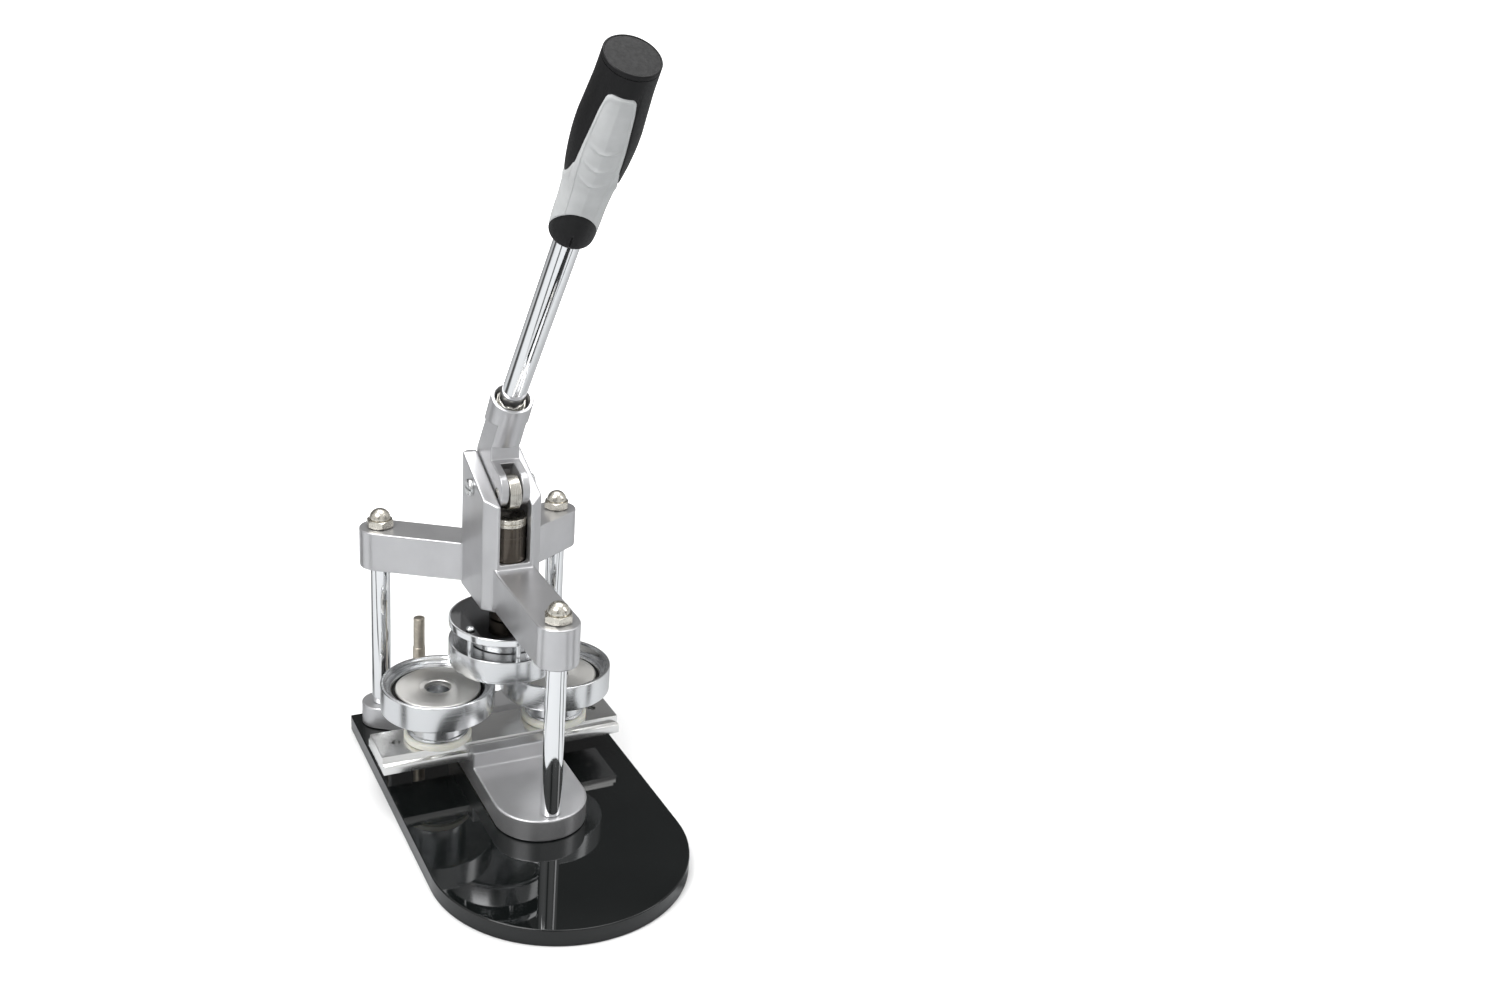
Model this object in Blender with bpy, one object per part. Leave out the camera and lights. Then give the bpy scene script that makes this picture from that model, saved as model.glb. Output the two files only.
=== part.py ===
"""Button badge maker: a hand press with a forward-pulled lever, a sliding plate with two lower
dies, and a spring-ringed upper die. Metres, +Z up, +X right, -Y towards the operator.
The origin is under the ram's axis, on the floor."""

import math

import bmesh
import bpy
from mathutils import Matrix, Vector

MM = 0.001
GAP = 0.3
SEG = 24
DIE_SEG = 40

# Base board.
BOARD_HALF_W = 86.0
BOARD_BACK_Y = 98.0
BOARD_ARC_Y = -114.6
BOARD_T = 12.0
BOARD_EDGE = 0.8

# Lower casting: a front plinth, a block with a channel for the plate, and two rear arms.
PLINTH_R = 31.5
PLINTH_ARC_Y = -75.9
PLINTH_TOP = 28.0
RAIL_Y = 29.1
RAIL_TOP = 40.0
CHANNEL_FLOOR = 30.0
CHANNEL_HALF = 21.2
CHANNEL_LIP_Z = 36.8
CHANNEL_MOUTH_HALF = 16.9
REAR_BOSS_R = 14.2

# Columns: one in front, two behind.
FRONT_COLUMN = (0.0, -97.1)
REAR_COLUMN = (66.3, 83.4)
COLUMN_R = 6.9
STUD_R = 5.0
STUD_HOLE_R = 5.4
FOOT_STUD = 10.0
HEAD_STUD = 7.0
COLUMN_EDGE = 0.5

# Domed cap nuts, on their studs above the arms.
NUT_FLATS = 17.0
NUT_FOOT_R = 8.1
NUT_FOOT_T = 1.2
NUT_HEX_LOW = 0.6
NUT_HEX_HIGH = 5.6
NUT_DOME_R = 7.25
NUT_DOME_RIM = 6.4
NUT_HEIGHT = 13.4
NUT_BORE_DEPTH = 7.7

# Head casting: a tower for the ram and three arms.
TOWER_HALF = 20.5
TOWER_FRONT = -14.2
TOWER_BACK = 42.0
TOWER_CHAMFER = 8.0
TOWER_REAR_CHAMFER = 3.0
TOWER_BOTTOM = 138.0
CHEEK_FRONT_Y = -24.2
CHEEK_FRONT_Z = 210.5
CHEEK_REAR_Y = 38.5
CHEEK_REAR_Z = 236.8
ARM_BOTTOM = 140.3
ARM_TOP = 168.9
ARM_HALF = 14.3
ARM_JOIN_Y = 41.8
BOSS_PROUD = 0.2
SLOT_HALF = 10.6
SLOT_FLOOR = 172.4
SLOT_REAR_Y = 31.0
SLOT_REAR_FLOOR = 205.0
BORE_R = 12.4
BORE_TOP = 210.0

# Lever pivot and roller.
PIVOT = (0.0, 19.0, 218.0)
PIN_R = 4.0
PIN_HOLE_R = 4.35
SCREW_HEAD_R = 6.0
SCREW_HEAD_T = 3.0
SCREW_FACE_R = 4.6
SCREW_BEND = (5.6, 0.6)
SCREW_SIDE_T = 1.4
BOLT_END_INSET = 0.5
DRIVE_SLOT_HALF = 0.7
DRIVE_SLOT_DEPTH = 1.3
ROLLER = (0.0, -2.0, 220.5)
ROLLER_R = 12.0
ROLLER_HALF = 4.0
ROLLER_BORE_R = 8.0
INNER_RACE_R = 7.6
ROLLER_PIN_R = 3.4
HUB_HALF = 9.9
EAR_SLOT_HALF = 4.7
EAR_CENTRE = (-1.5, 223.5)
EAR_R = 12.0
EYE_R = 12.0
HUB_BACK = ((40.0, 230.0), (41.6, 234.0), (41.4, 238.5), (23.6, 265.5))
HUB_FRONT = ((10.5, 249.6), (10.5, 239.2))
HUB_SHELF_Y = 10.4
HUB_SHELF_TOP = 249.3
SOCKET_FLAT_HALF = 9.8
SOCKET_FLAT_TOP = 268.0
EAR_SLOT = ((-20.0, 200.0), (8.0, 200.0), (12.5, 204.5), (12.5, 232.0), (6.0, 238.0), (-20.0, 238.0))

# Socket and rod, each given by a point on its axis and its forward tilt in degrees.
SOCKET_RIM = (0.0, -1.1, 286.5)
SOCKET_TILT = 31.0
SOCKET_R = 14.2
SOCKET_LENGTH = 48.0
SOCKET_BORE_R = 11.6
SOCKET_BORE_DEPTH = 15.0
LOCK_RING_LOW = 14.0
LOCK_RING_HIGH = 4.5
ROD_POINT = (0.0, -0.8, 286.7)
ROD_TILT = 35.9
ROD_R = 8.2
ROD_BELOW = 30.0

# Grip: start and length along the rod, then tables of (height or angle, value). Heights are
# shares of the length. Angles are degrees round the rod from the middle of the grey tongue.
GRIP_START = 155.5
GRIP_LENGTH = 130.4
GRIP_BORE_R = ROD_R + GAP
GRIP_TOP_R = 15.9
GRIP_DISC_T = 3.0
TONGUE_TURN = -111.0
GRIP_PROFILE = (
    (0.0, 11.6),
    (0.006, 12.6),
    (0.02, 13.3),
    (0.06, 13.8),
    (0.12, 14.0),
    (0.21, 14.0),
    (0.26, 14.3),
    (0.30, 14.6),
    (0.36, 15.2),
    (0.40, 16.0),
    (0.45, 16.8),
    (0.50, 17.4),
    (0.58, 18.0),
    (0.66, 18.0),
    (0.72, 17.5),
    (0.80, 16.8),
    (0.88, 16.2),
    (1.0, GRIP_TOP_R),
)
TONGUE_EDGE = (
    (0.0, 0.883),
    (12.0, 0.883),
    (20.0, 0.883),
    (26.0, 0.875),
    (30.0, 0.86),
    (33.0, 0.82),
    (35.0, 0.78),
    (37.0, 0.69),
    (40.0, 0.61),
    (42.0, 0.56),
    (46.0, 0.49),
    (50.0, 0.47),
    (65.0, 0.40),
    (78.0, 0.37),
    (95.0, 0.35),
    (120.0, 0.34),
    (180.0, 0.34),
)
COLLAR_SIDE = 0.025
COLLAR_RISE = 0.19

# Ram and upper die.
RAM_R = 12.0
RAM_BOTTOM = 128.3
CAP_BOTTOM = 197.4
CAP_TOP = 203.4
CAP_GROOVE_Z = 200.1
FLANGE_R = 39.5
FLANGE_BOTTOM = 123.0
FLANGE_TOP = 128.0
CORE_NECK_R = 25.5
CORE_FACE_R = 34.6
CORE_BOTTOM = 102.5
CORE_FACE_TOP = 106.4
UPPER_RING_R = 39.5
UPPER_RING_BOTTOM = 93.9
UPPER_RING_TOP = 111.2
UPPER_WEB_T = 4.2
UPPER_RING_BORE_R = 35.3
UPPER_WEB_BORE_R = 26.5
BOLT_CIRCLE_R = 33.5
BOLT_R = 1.9
BOLT_HEAD_R = 3.0
BOLT_HEAD_T = 2.2
BOLT_ANGLES = (205.0, 265.0, 325.0, 85.0)

# Sliding plate with two lower dies.
PLATE_MID_X = -5.3
PLATE_HALF_LENGTH = 86.0
PLATE_FLANGE_HALF = 20.9
PLATE_TOP_HALF = 16.6
PLATE_BOTTOM = 30.3
PLATE_LEDGE = 36.5
PLATE_TOP = 41.9
PLATE_HOLE_R = 2.9
PLATE_HOLE_INSET = 13.6
DIE_SPACING = 85.8
NYLON_R = 23.2
NYLON_T = 5.0
DIE_NECK_R = 20.2
DIE_SEAT_R = 28.6
DIE_SEAT_T = 3.0
DIE_FACE_R = 29.0
DIE_FACE_T = 3.0
DIE_HOLE_R = 9.0
LEFT_FACE_Z = 80.4
RIGHT_FACE_Z = 76.6
LOWER_RING_R = 38.9
LOWER_RING_BOTTOM = 66.0
LOWER_RING_TOP = 84.7
LOWER_RING_BORE_R = 35.6
LOWER_RING_STEP_R = 31.2
LOWER_RING_STEP_Z = 79.0
LOWER_WEB_T = 3.6

REAR_POST = (-43.6, 64.0)
REAR_POST_R = 4.0
REAR_POST_SHOULDER_Z = 79.0
REAR_POST_TOP = 103.0


def clear_scene():
    """Removes every object that the new file starts with."""
    for obj in list(bpy.data.objects):
        bpy.data.objects.remove(obj, do_unlink=True)


def material(name, color, roughness, metallic):
    """Makes one Principled material."""
    mat = bpy.data.materials.new(name)
    mat.use_nodes = True
    shader = mat.node_tree.nodes["Principled BSDF"]
    shader.inputs["Base Color"].default_value = (*color, 1.0)
    shader.inputs["Roughness"].default_value = roughness
    shader.inputs["Metallic"].default_value = metallic
    mat.diffuse_color = (*color, 1.0)
    return mat


def place(name, bm, mat, origin=(0.0, 0.0, 0.0)):
    """Turns bmesh geometry in world millimetres into an object whose origin is at origin."""
    bm.normal_update()
    bmesh.ops.recalc_face_normals(bm, faces=bm.faces[:])
    shift = Matrix.Translation(-Vector(origin))
    bmesh.ops.transform(bm, matrix=Matrix.Scale(MM, 4) @ shift, verts=bm.verts[:])
    mesh = bpy.data.meshes.new(name)
    bm.to_mesh(mesh)
    bm.free()
    obj = bpy.data.objects.new(name, mesh)
    obj.location = Vector(origin) * MM
    bpy.context.scene.collection.objects.link(obj)
    if mat is not None:
        mesh.materials.append(mat)
    return obj


def prism(outline, low, high, frame=None):
    """Extrudes a closed 2-D outline from low to high along Z, then moves it by frame."""
    bm = bmesh.new()
    bottom = [bm.verts.new((x, y, low)) for x, y in outline]
    top = [bm.verts.new((x, y, high)) for x, y in outline]
    count = len(outline)
    bm.faces.new(bottom[::-1])
    bm.faces.new(top)
    for i in range(count):
        j = (i + 1) % count
        bm.faces.new((bottom[i], bottom[j], top[j], top[i]))
    if frame is not None:
        bmesh.ops.transform(bm, matrix=frame, verts=bm.verts[:])
    return bm


def box(x0, x1, y0, y1, z0, z1):
    """A plain block between the given limits."""
    return prism([(x0, y0), (x1, y0), (x1, y1), (x0, y1)], z0, z1)


def lathe(profile, frame=None, segments=SEG):
    """Revolves a closed (radius, height) loop about Z. A point at radius 0 becomes one vertex."""
    bm = bmesh.new()
    rings = []
    for radius, height in profile:
        if radius == 0.0:
            rings.append([bm.verts.new((0.0, 0.0, height))])
            continue
        ring = []
        for i in range(segments):
            angle = 2.0 * math.pi * i / segments
            ring.append(bm.verts.new((radius * math.cos(angle), radius * math.sin(angle), height)))
        rings.append(ring)
    for k, ring in enumerate(rings):
        after = rings[(k + 1) % len(rings)]
        join_rings(bm, ring, after, segments)
    if frame is not None:
        bmesh.ops.transform(bm, matrix=frame, verts=bm.verts[:])
    return bm


def join_rings(bm, ring, after, segments):
    """Fills the band between two rings, either of which may be a single point."""
    if len(ring) == 1 and len(after) == 1:
        return
    for i in range(segments):
        j = (i + 1) % segments
        if len(ring) == 1:
            bm.faces.new((ring[0], after[j], after[i]))
        elif len(after) == 1:
            bm.faces.new((ring[i], ring[j], after[0]))
        else:
            bm.faces.new((ring[i], ring[j], after[j], after[i]))


def cylinder(radius, low, high, x=0.0, y=0.0, segments=SEG):
    """An upright cylinder."""
    profile = [(0.0, low), (radius, low), (radius, high), (0.0, high)]
    return lathe(profile, Matrix.Translation((x, y, 0.0)), segments)


def arc(cx, cy, radius, start, end, steps):
    """Points on an arc, angles in degrees, both ends included."""
    points = []
    for i in range(steps + 1):
        angle = math.radians(start + (end - start) * i / steps)
        points.append((cx + radius * math.cos(angle), cy + radius * math.sin(angle)))
    return points


def stadium(half_w, arc_y, back_y, steps=24):
    """A rounded front at arc_y and a straight back at back_y."""
    points = arc(0.0, arc_y, half_w, 180.0, 360.0, steps)
    points.append((half_w, back_y))
    points.append((-half_w, back_y))
    return points


def combine(target, bm, operation, name):
    """Adds or cuts geometry with a Boolean modifier whose other object is not rendered."""
    other = place(name, bm, None)
    other.hide_render = True
    other.display_type = "WIRE"
    step = target.modifiers.new(name, "BOOLEAN")
    step.operation = operation
    step.solver = "EXACT"
    step.object = other
    other.parent = target
    other.matrix_parent_inverse = Matrix.Translation(-target.location)


def bevel(obj, width, segments=2, angle=35.0):
    """Softens the edges sharper than angle."""
    step = obj.modifiers.new("edges", "BEVEL")
    step.width = width * MM
    step.segments = segments
    step.limit_method = "ANGLE"
    step.angle_limit = math.radians(angle)


def smooth(obj):
    """Shades an object's curved faces smooth and keeps its corners sharp."""
    for face in obj.data.polygons:
        face.use_smooth = True
    obj.data.set_sharp_from_angle(angle=math.radians(35.0))


def lean(point, tilt):
    """A frame at point whose Z axis leans forward, towards -Y, by tilt degrees."""
    return Matrix.Translation(point) @ Matrix.Rotation(math.radians(tilt), 4, "X")


def along_x(point):
    """A frame at point whose Z axis runs along +X, with Y kept."""
    return Matrix.Translation(point) @ Matrix.Rotation(math.radians(90.0), 4, "Y")


def side_frame():
    """Maps outline (y, z) with height x onto the world."""
    return Matrix(((0, 0, 1, 0), (1, 0, 0, 0), (0, 1, 0, 0), (0, 0, 0, 1)))


def base_board(mats):
    """The flat board with a semicircular front."""
    outline = stadium(BOARD_HALF_W, BOARD_ARC_Y, BOARD_BACK_Y, 36)
    board = place("base_board", prism(outline, 0.0, BOARD_T), mats["board_gloss_black"])
    bevel(board, BOARD_EDGE, 1, 50.0)


def rear_arm(x, y, half, low, high):
    """A straight arm from the middle plane to a rear column, ending in a round boss."""
    start = Vector((0.0, ARM_JOIN_Y))
    end = Vector((x, y))
    side = (end - start).normalized()
    side = Vector((-side.y, side.x)) * half
    outline = [start + side, start - side, end - side, end + side]
    return prism([(p.x, p.y) for p in outline], low, high)


def base_casting(mats):
    """The lower casting: a front plinth, a channel for the plate and two rear arms."""
    low = BOARD_T + GAP
    outline = stadium(PLINTH_R, PLINTH_ARC_Y, ARM_JOIN_Y + 14.0)
    body = place("base_casting", prism(outline, low, PLINTH_TOP), mats["casting_silver"])
    block = box(-PLINTH_R + BOSS_PROUD, PLINTH_R - BOSS_PROUD, -RAIL_Y, RAIL_Y, low + 2.0, RAIL_TOP)
    combine(body, block, "UNION", "cut_base_block")
    for tag, sign in (("left", -1.0), ("right", 1.0)):
        x = REAR_COLUMN[0] * sign
        y = REAR_COLUMN[1]
        arm = rear_arm(x, y, REAR_BOSS_R - BOSS_PROUD, low + BOSS_PROUD, PLINTH_TOP - BOSS_PROUD)
        combine(body, arm, "UNION", "cut_base_arm_" + tag)
        boss = cylinder(REAR_BOSS_R, low + 0.5 * BOSS_PROUD, PLINTH_TOP + 1.0, x, y)
        combine(body, boss, "UNION", "cut_base_boss_" + tag)
    channel = box(-60.0, 60.0, -CHANNEL_HALF, CHANNEL_HALF, CHANNEL_FLOOR, CHANNEL_LIP_Z)
    combine(body, channel, "DIFFERENCE", "cut_channel")
    mouth = box(-61.0, 61.0, -CHANNEL_MOUTH_HALF, CHANNEL_MOUTH_HALF, CHANNEL_FLOOR + 1.0, RAIL_TOP + 1.0)
    combine(body, mouth, "DIFFERENCE", "cut_mouth")
    holes = (FRONT_COLUMN, (-REAR_COLUMN[0], REAR_COLUMN[1]), REAR_COLUMN)
    for index, (x, y) in enumerate(holes):
        hole = cylinder(STUD_HOLE_R, PLINTH_TOP - FOOT_STUD - 1.0, PLINTH_TOP + 5.0, x, y, 24)
        combine(body, hole, "DIFFERENCE", "cut_foot_hole_%d" % index)


def column(name, x, y, foot_z, mats):
    """A column with a thinner stud at each end."""
    profile = [
        (0.0, PLINTH_TOP - FOOT_STUD),
        (STUD_R, PLINTH_TOP - FOOT_STUD),
        (STUD_R, foot_z),
        (COLUMN_R - COLUMN_EDGE, foot_z),
        (COLUMN_R, foot_z + COLUMN_EDGE),
        (COLUMN_R, ARM_BOTTOM - GAP - COLUMN_EDGE),
        (COLUMN_R - COLUMN_EDGE, ARM_BOTTOM - GAP),
        (STUD_R, ARM_BOTTOM - GAP),
        (STUD_R, ARM_TOP + HEAD_STUD),
        (0.0, ARM_TOP + HEAD_STUD),
    ]
    obj = place(name, lathe(profile, Matrix.Translation((x, y, 0.0))), mats["column_chrome"])
    smooth(obj)


def cap_nut(name, x, y, mats):
    """A hexagon nut with a washer face and a domed cap, bored from below."""
    low = ARM_TOP + GAP
    hexagon = arc(x, y, NUT_FLATS / math.sqrt(3.0), 10.0, 310.0, 5)
    obj = place(name, prism(hexagon, low + NUT_HEX_LOW, low + NUT_HEX_HIGH), mats["nut_nickel"])
    foot = cylinder(NUT_FOOT_R, low, low + NUT_FOOT_T, x, y)
    combine(obj, foot, "UNION", "cut_%s_foot" % name)
    inside = low + NUT_HEX_HIGH - 0.6
    rim = low + NUT_DOME_RIM
    rise = NUT_HEIGHT - NUT_DOME_RIM
    dome = [(0.0, inside), (NUT_DOME_R, inside)]
    dome += [(NUT_DOME_R * math.cos(a), rim + rise * math.sin(a)) for a in dome_angles()]
    dome.append((0.0, low + NUT_HEIGHT))
    cap = lathe(dome, Matrix.Translation((x, y, 0.0)))
    combine(obj, cap, "UNION", "cut_%s_dome" % name)
    bore = cylinder(STUD_HOLE_R, low - 1.0, low + NUT_BORE_DEPTH, x, y)
    combine(obj, bore, "DIFFERENCE", "cut_%s_bore" % name)


def dome_angles():
    """Angles in radians from the rim of a dome to just short of its top."""
    return [math.radians(a) for a in (0, 12, 24, 36, 48, 60, 72, 82)]


def tower_outline():
    """Plan of the tower, with chamfered corners."""
    cut = TOWER_CHAMFER
    rear = TOWER_REAR_CHAMFER
    return [
        (-TOWER_HALF, TOWER_FRONT + cut),
        (-TOWER_HALF + cut, TOWER_FRONT),
        (TOWER_HALF - cut, TOWER_FRONT),
        (TOWER_HALF, TOWER_FRONT + cut),
        (TOWER_HALF, TOWER_BACK - rear),
        (TOWER_HALF - rear, TOWER_BACK),
        (-TOWER_HALF + rear, TOWER_BACK),
        (-TOWER_HALF, TOWER_BACK - rear),
    ]


def head_arms(body):
    """Joins the three arms and their bosses to the tower."""
    front = box(-ARM_HALF, ARM_HALF, FRONT_COLUMN[1], 0.0, ARM_BOTTOM + BOSS_PROUD, ARM_TOP - BOSS_PROUD)
    combine(body, front, "UNION", "cut_front_arm")
    boss = cylinder(ARM_HALF + BOSS_PROUD, ARM_BOTTOM, ARM_TOP, *FRONT_COLUMN)
    combine(body, boss, "UNION", "cut_front_boss")
    for tag, sign in (("left", -1.0), ("right", 1.0)):
        x = REAR_COLUMN[0] * sign
        y = REAR_COLUMN[1]
        arm = rear_arm(x, y, ARM_HALF, ARM_BOTTOM + 1.5 * BOSS_PROUD, ARM_TOP - 1.5 * BOSS_PROUD)
        combine(body, arm, "UNION", "cut_arm_" + tag)
        end = cylinder(ARM_HALF + BOSS_PROUD, ARM_BOTTOM, ARM_TOP, x, y)
        combine(body, end, "UNION", "cut_boss_" + tag)


def head_casting(mats):
    """The upper casting: a slotted tower on three arms."""
    top = CHEEK_REAR_Z + 0.5
    body = place("head_casting", prism(tower_outline(), TOWER_BOTTOM, top), mats["casting_silver"])
    head_arms(body)
    slope = [
        (CHEEK_FRONT_Y, CHEEK_FRONT_Z),
        (CHEEK_REAR_Y, CHEEK_REAR_Z),
        (TOWER_BACK + 10.0, CHEEK_REAR_Z),
        (TOWER_BACK + 10.0, top + 20.0),
        (CHEEK_FRONT_Y, top + 20.0),
    ]
    combine(body, prism(slope, -40.0, 40.0, side_frame()), "DIFFERENCE", "cut_slope")
    bore = cylinder(BORE_R, TOWER_BOTTOM - 5.0, BORE_TOP)
    combine(body, bore, "DIFFERENCE", "cut_bore")
    slot = [
        (TOWER_FRONT - 5.0, SLOT_FLOOR),
        (SLOT_REAR_Y, SLOT_FLOOR),
        (SLOT_REAR_Y, SLOT_REAR_FLOOR),
        (TOWER_BACK + 5.0, SLOT_REAR_FLOOR),
        (TOWER_BACK + 5.0, top + 5.0),
        (TOWER_FRONT - 5.0, top + 5.0),
    ]
    combine(body, prism(slot, -SLOT_HALF, SLOT_HALF, side_frame()), "DIFFERENCE", "cut_slot")
    hole = lathe([(0.0, -30.0), (PIN_HOLE_R, -30.0), (PIN_HOLE_R, 30.0), (0.0, 30.0)], along_x(PIVOT), 24)
    combine(body, hole, "DIFFERENCE", "cut_pin_hole")
    holes = (FRONT_COLUMN, (-REAR_COLUMN[0], REAR_COLUMN[1]), REAR_COLUMN)
    for index, (x, y) in enumerate(holes):
        stud = cylinder(STUD_HOLE_R, ARM_BOTTOM - 5.0, ARM_TOP + 5.0, x, y, 24)
        combine(body, stud, "DIFFERENCE", "cut_stud_hole_%d" % index)


def pivot_bolt(mats):
    """The lever's cross pin, with a slotted pan head on the left."""
    head = -TOWER_HALF - GAP
    profile = [
        (0.0, head - SCREW_HEAD_T),
        (SCREW_FACE_R, head - SCREW_HEAD_T),
        (SCREW_BEND[0], head - SCREW_HEAD_T + SCREW_BEND[1]),
        (SCREW_HEAD_R, head - SCREW_SIDE_T),
        (SCREW_HEAD_R, head),
        (PIN_R, head),
        (PIN_R, TOWER_HALF - BOLT_END_INSET),
        (0.0, TOWER_HALF - BOLT_END_INSET),
    ]
    obj = place("pivot_bolt", lathe(profile, along_x(PIVOT), 24), mats["screw_zinc"], PIVOT)
    smooth(obj)
    x = head - SCREW_HEAD_T
    y = PIVOT[1]
    z = PIVOT[2]
    slot = box(x - 1.0, x + DRIVE_SLOT_DEPTH, y - 8.0, y + 8.0, z - DRIVE_SLOT_HALF, z + DRIVE_SLOT_HALF)
    combine(obj, slot, "DIFFERENCE", "cut_bolt_slot")


def pivot_cap(mats):
    """The matching pan head on the right."""
    head = TOWER_HALF + GAP
    profile = [
        (0.0, head),
        (SCREW_HEAD_R, head),
        (SCREW_HEAD_R, head + SCREW_SIDE_T),
        (SCREW_BEND[0], head + SCREW_HEAD_T - SCREW_BEND[1]),
        (SCREW_FACE_R, head + SCREW_HEAD_T),
        (0.0, head + SCREW_HEAD_T),
    ]
    smooth(place("pivot_cap", lathe(profile, along_x(PIVOT), 24), mats["screw_zinc"], PIVOT))


def rear_post(mats):
    """A plain round post on the left rear arm, stepped part of the way up."""
    x, y = REAR_POST
    profile = [
        (0.0, PLINTH_TOP + GAP),
        (REAR_POST_R + 0.4, PLINTH_TOP + GAP),
        (REAR_POST_R + 0.4, REAR_POST_SHOULDER_Z),
        (REAR_POST_R, REAR_POST_SHOULDER_Z + 0.6),
        (REAR_POST_R, REAR_POST_TOP - 0.8),
        (REAR_POST_R - 0.8, REAR_POST_TOP),
        (0.0, REAR_POST_TOP),
    ]
    smooth(place("rear_post", lathe(profile, Matrix.Translation((x, y, 0.0))), mats["post_nickel"]))


def hub_outline():
    """Side view (y, z) of the lever hub: ears round the roller, pivot eye, back edge and block."""
    points = arc(*EAR_CENTRE, EAR_R, 100.0, 262.0, 18)
    points += arc(PIVOT[1], PIVOT[2], EYE_R, 262.0, 345.0, 10)
    points += HUB_BACK
    points += HUB_FRONT
    return points


def lever_hub(mats):
    """The forked hub: two ears for the roller, an eye for the pivot and a tube for the rod."""
    socket = lean(SOCKET_RIM, SOCKET_TILT)
    tube = [
        (0.0, -SOCKET_LENGTH),
        (SOCKET_R - 1.5, -SOCKET_LENGTH),
        (SOCKET_R, -SOCKET_LENGTH + 2.0),
        (SOCKET_R, -0.6),
        (SOCKET_R - 0.6, 0.0),
        (0.0, 0.0),
    ]
    body = place("lever_hub", lathe(tube, socket), mats["casting_silver"], PIVOT)
    for tag, x0, x1 in (("left", -20.0, -SOCKET_FLAT_HALF), ("right", SOCKET_FLAT_HALF, 20.0)):
        flat = box(x0, x1, -20.0, 60.0, 220.0, SOCKET_FLAT_TOP)
        combine(body, flat, "DIFFERENCE", "cut_socket_flat_" + tag)
    shelf = box(-20.0, 20.0, -20.0, HUB_SHELF_Y, 220.0, HUB_SHELF_TOP)
    combine(body, shelf, "DIFFERENCE", "cut_socket_shelf")
    combine(body, prism(hub_outline(), -HUB_HALF, HUB_HALF, side_frame()), "UNION", "cut_hub_block")
    hollow = [
        (0.0, -SOCKET_BORE_DEPTH),
        (SOCKET_BORE_R, -SOCKET_BORE_DEPTH),
        (SOCKET_BORE_R, 5.0),
        (0.0, 5.0),
    ]
    combine(body, lathe(hollow, socket), "DIFFERENCE", "cut_socket_bore")
    shaft = [(0.0, -ROD_BELOW - 1.0), (ROD_R + GAP, -ROD_BELOW - 1.0), (ROD_R + GAP, 10.0), (0.0, 10.0)]
    combine(body, lathe(shaft, lean(ROD_POINT, ROD_TILT)), "DIFFERENCE", "cut_rod_hole")
    combine(body, prism(EAR_SLOT, -EAR_SLOT_HALF, EAR_SLOT_HALF, side_frame()), "DIFFERENCE", "cut_ears")
    pivot = [(0.0, -20.0), (PIN_HOLE_R, -20.0), (PIN_HOLE_R, 20.0), (0.0, 20.0)]
    combine(body, lathe(pivot, along_x(PIVOT), 24), "DIFFERENCE", "cut_eye")
    axle = [(0.0, -20.0), (ROLLER_PIN_R + GAP, -20.0), (ROLLER_PIN_R + GAP, 20.0), (0.0, 20.0)]
    combine(body, lathe(axle, along_x(ROLLER), 24), "DIFFERENCE", "cut_axle")


def roller_pin(mats):
    """The pin that carries the roller between the ears."""
    end = HUB_HALF - 0.1
    profile = [(0.0, -end), (ROLLER_PIN_R, -end), (ROLLER_PIN_R, end), (0.0, end)]
    smooth(place("roller_pin", lathe(profile, along_x(ROLLER), 24), mats["bearing_steel"], PIVOT))


def tube_about_x(name, inner, outer, half, mat, origin):
    """A plain ring about the roller's axis, with small chamfers outside."""
    profile = [
        (inner, -half),
        (outer - 0.5, -half),
        (outer, -half + 0.5),
        (outer, half - 0.5),
        (outer - 0.5, half),
        (inner, half),
    ]
    smooth(place(name, lathe(profile, along_x(ROLLER)), mat, origin))


def roller(mats):
    """A ball bearing shown as an inner and an outer ring."""
    tube_about_x("roller_race", ROLLER_PIN_R + GAP, INNER_RACE_R, ROLLER_HALF, mats["bearing_steel"], PIVOT)
    tube_about_x("roller_ring", ROLLER_BORE_R, ROLLER_R, ROLLER_HALF, mats["bearing_steel"], ROLLER)


def lever_rod(mats):
    """The round rod from the hub to inside the grip, with a lock ring in the socket."""
    frame = lean(ROD_POINT, ROD_TILT)
    top = GRIP_START + GRIP_LENGTH - 8.0
    profile = [(0.0, -ROD_BELOW), (ROD_R, -ROD_BELOW), (ROD_R, top - 1.0), (ROD_R - 1.0, top), (0.0, top)]
    smooth(place("lever_rod", lathe(profile, frame), mats["column_chrome"], PIVOT))
    ring = [
        (0.0, -LOCK_RING_LOW),
        (SOCKET_BORE_R - GAP, -LOCK_RING_LOW),
        (SOCKET_BORE_R - GAP, -LOCK_RING_HIGH - 0.6),
        (SOCKET_BORE_R - GAP - 0.6, -LOCK_RING_HIGH),
        (0.0, -LOCK_RING_HIGH),
    ]
    lock = place("lock_ring", lathe(ring, lean(SOCKET_RIM, SOCKET_TILT)), mats["bearing_steel"], PIVOT)
    bore = [(0.0, -30.0), (ROD_R + GAP, -30.0), (ROD_R + GAP, 10.0), (0.0, 10.0)]
    combine(lock, lathe(bore, frame), "DIFFERENCE", "cut_lock_ring")


def between(table, x):
    """Reads a table of (x, value) pairs, straight between its entries."""
    for (x0, value0), (x1, value1) in zip(table, table[1:]):
        if x <= x1:
            return value0 + (value1 - value0) * (x - x0) / (x1 - x0)
    return table[-1][1]


def grip_angles():
    """Angles of the grip's columns: those of the tongue's edge, on both sides."""
    right = [angle for angle, _ in TONGUE_EDGE]
    left = [-angle for angle in right[1:-1]]
    return left[::-1] + right[:-1] + [150.0, 180.0, -150.0]


def tongue_edge(angle):
    """Height of the border between the grey sleeve and the black one."""
    return between(TONGUE_EDGE, abs(angle)) * GRIP_LENGTH


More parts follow.
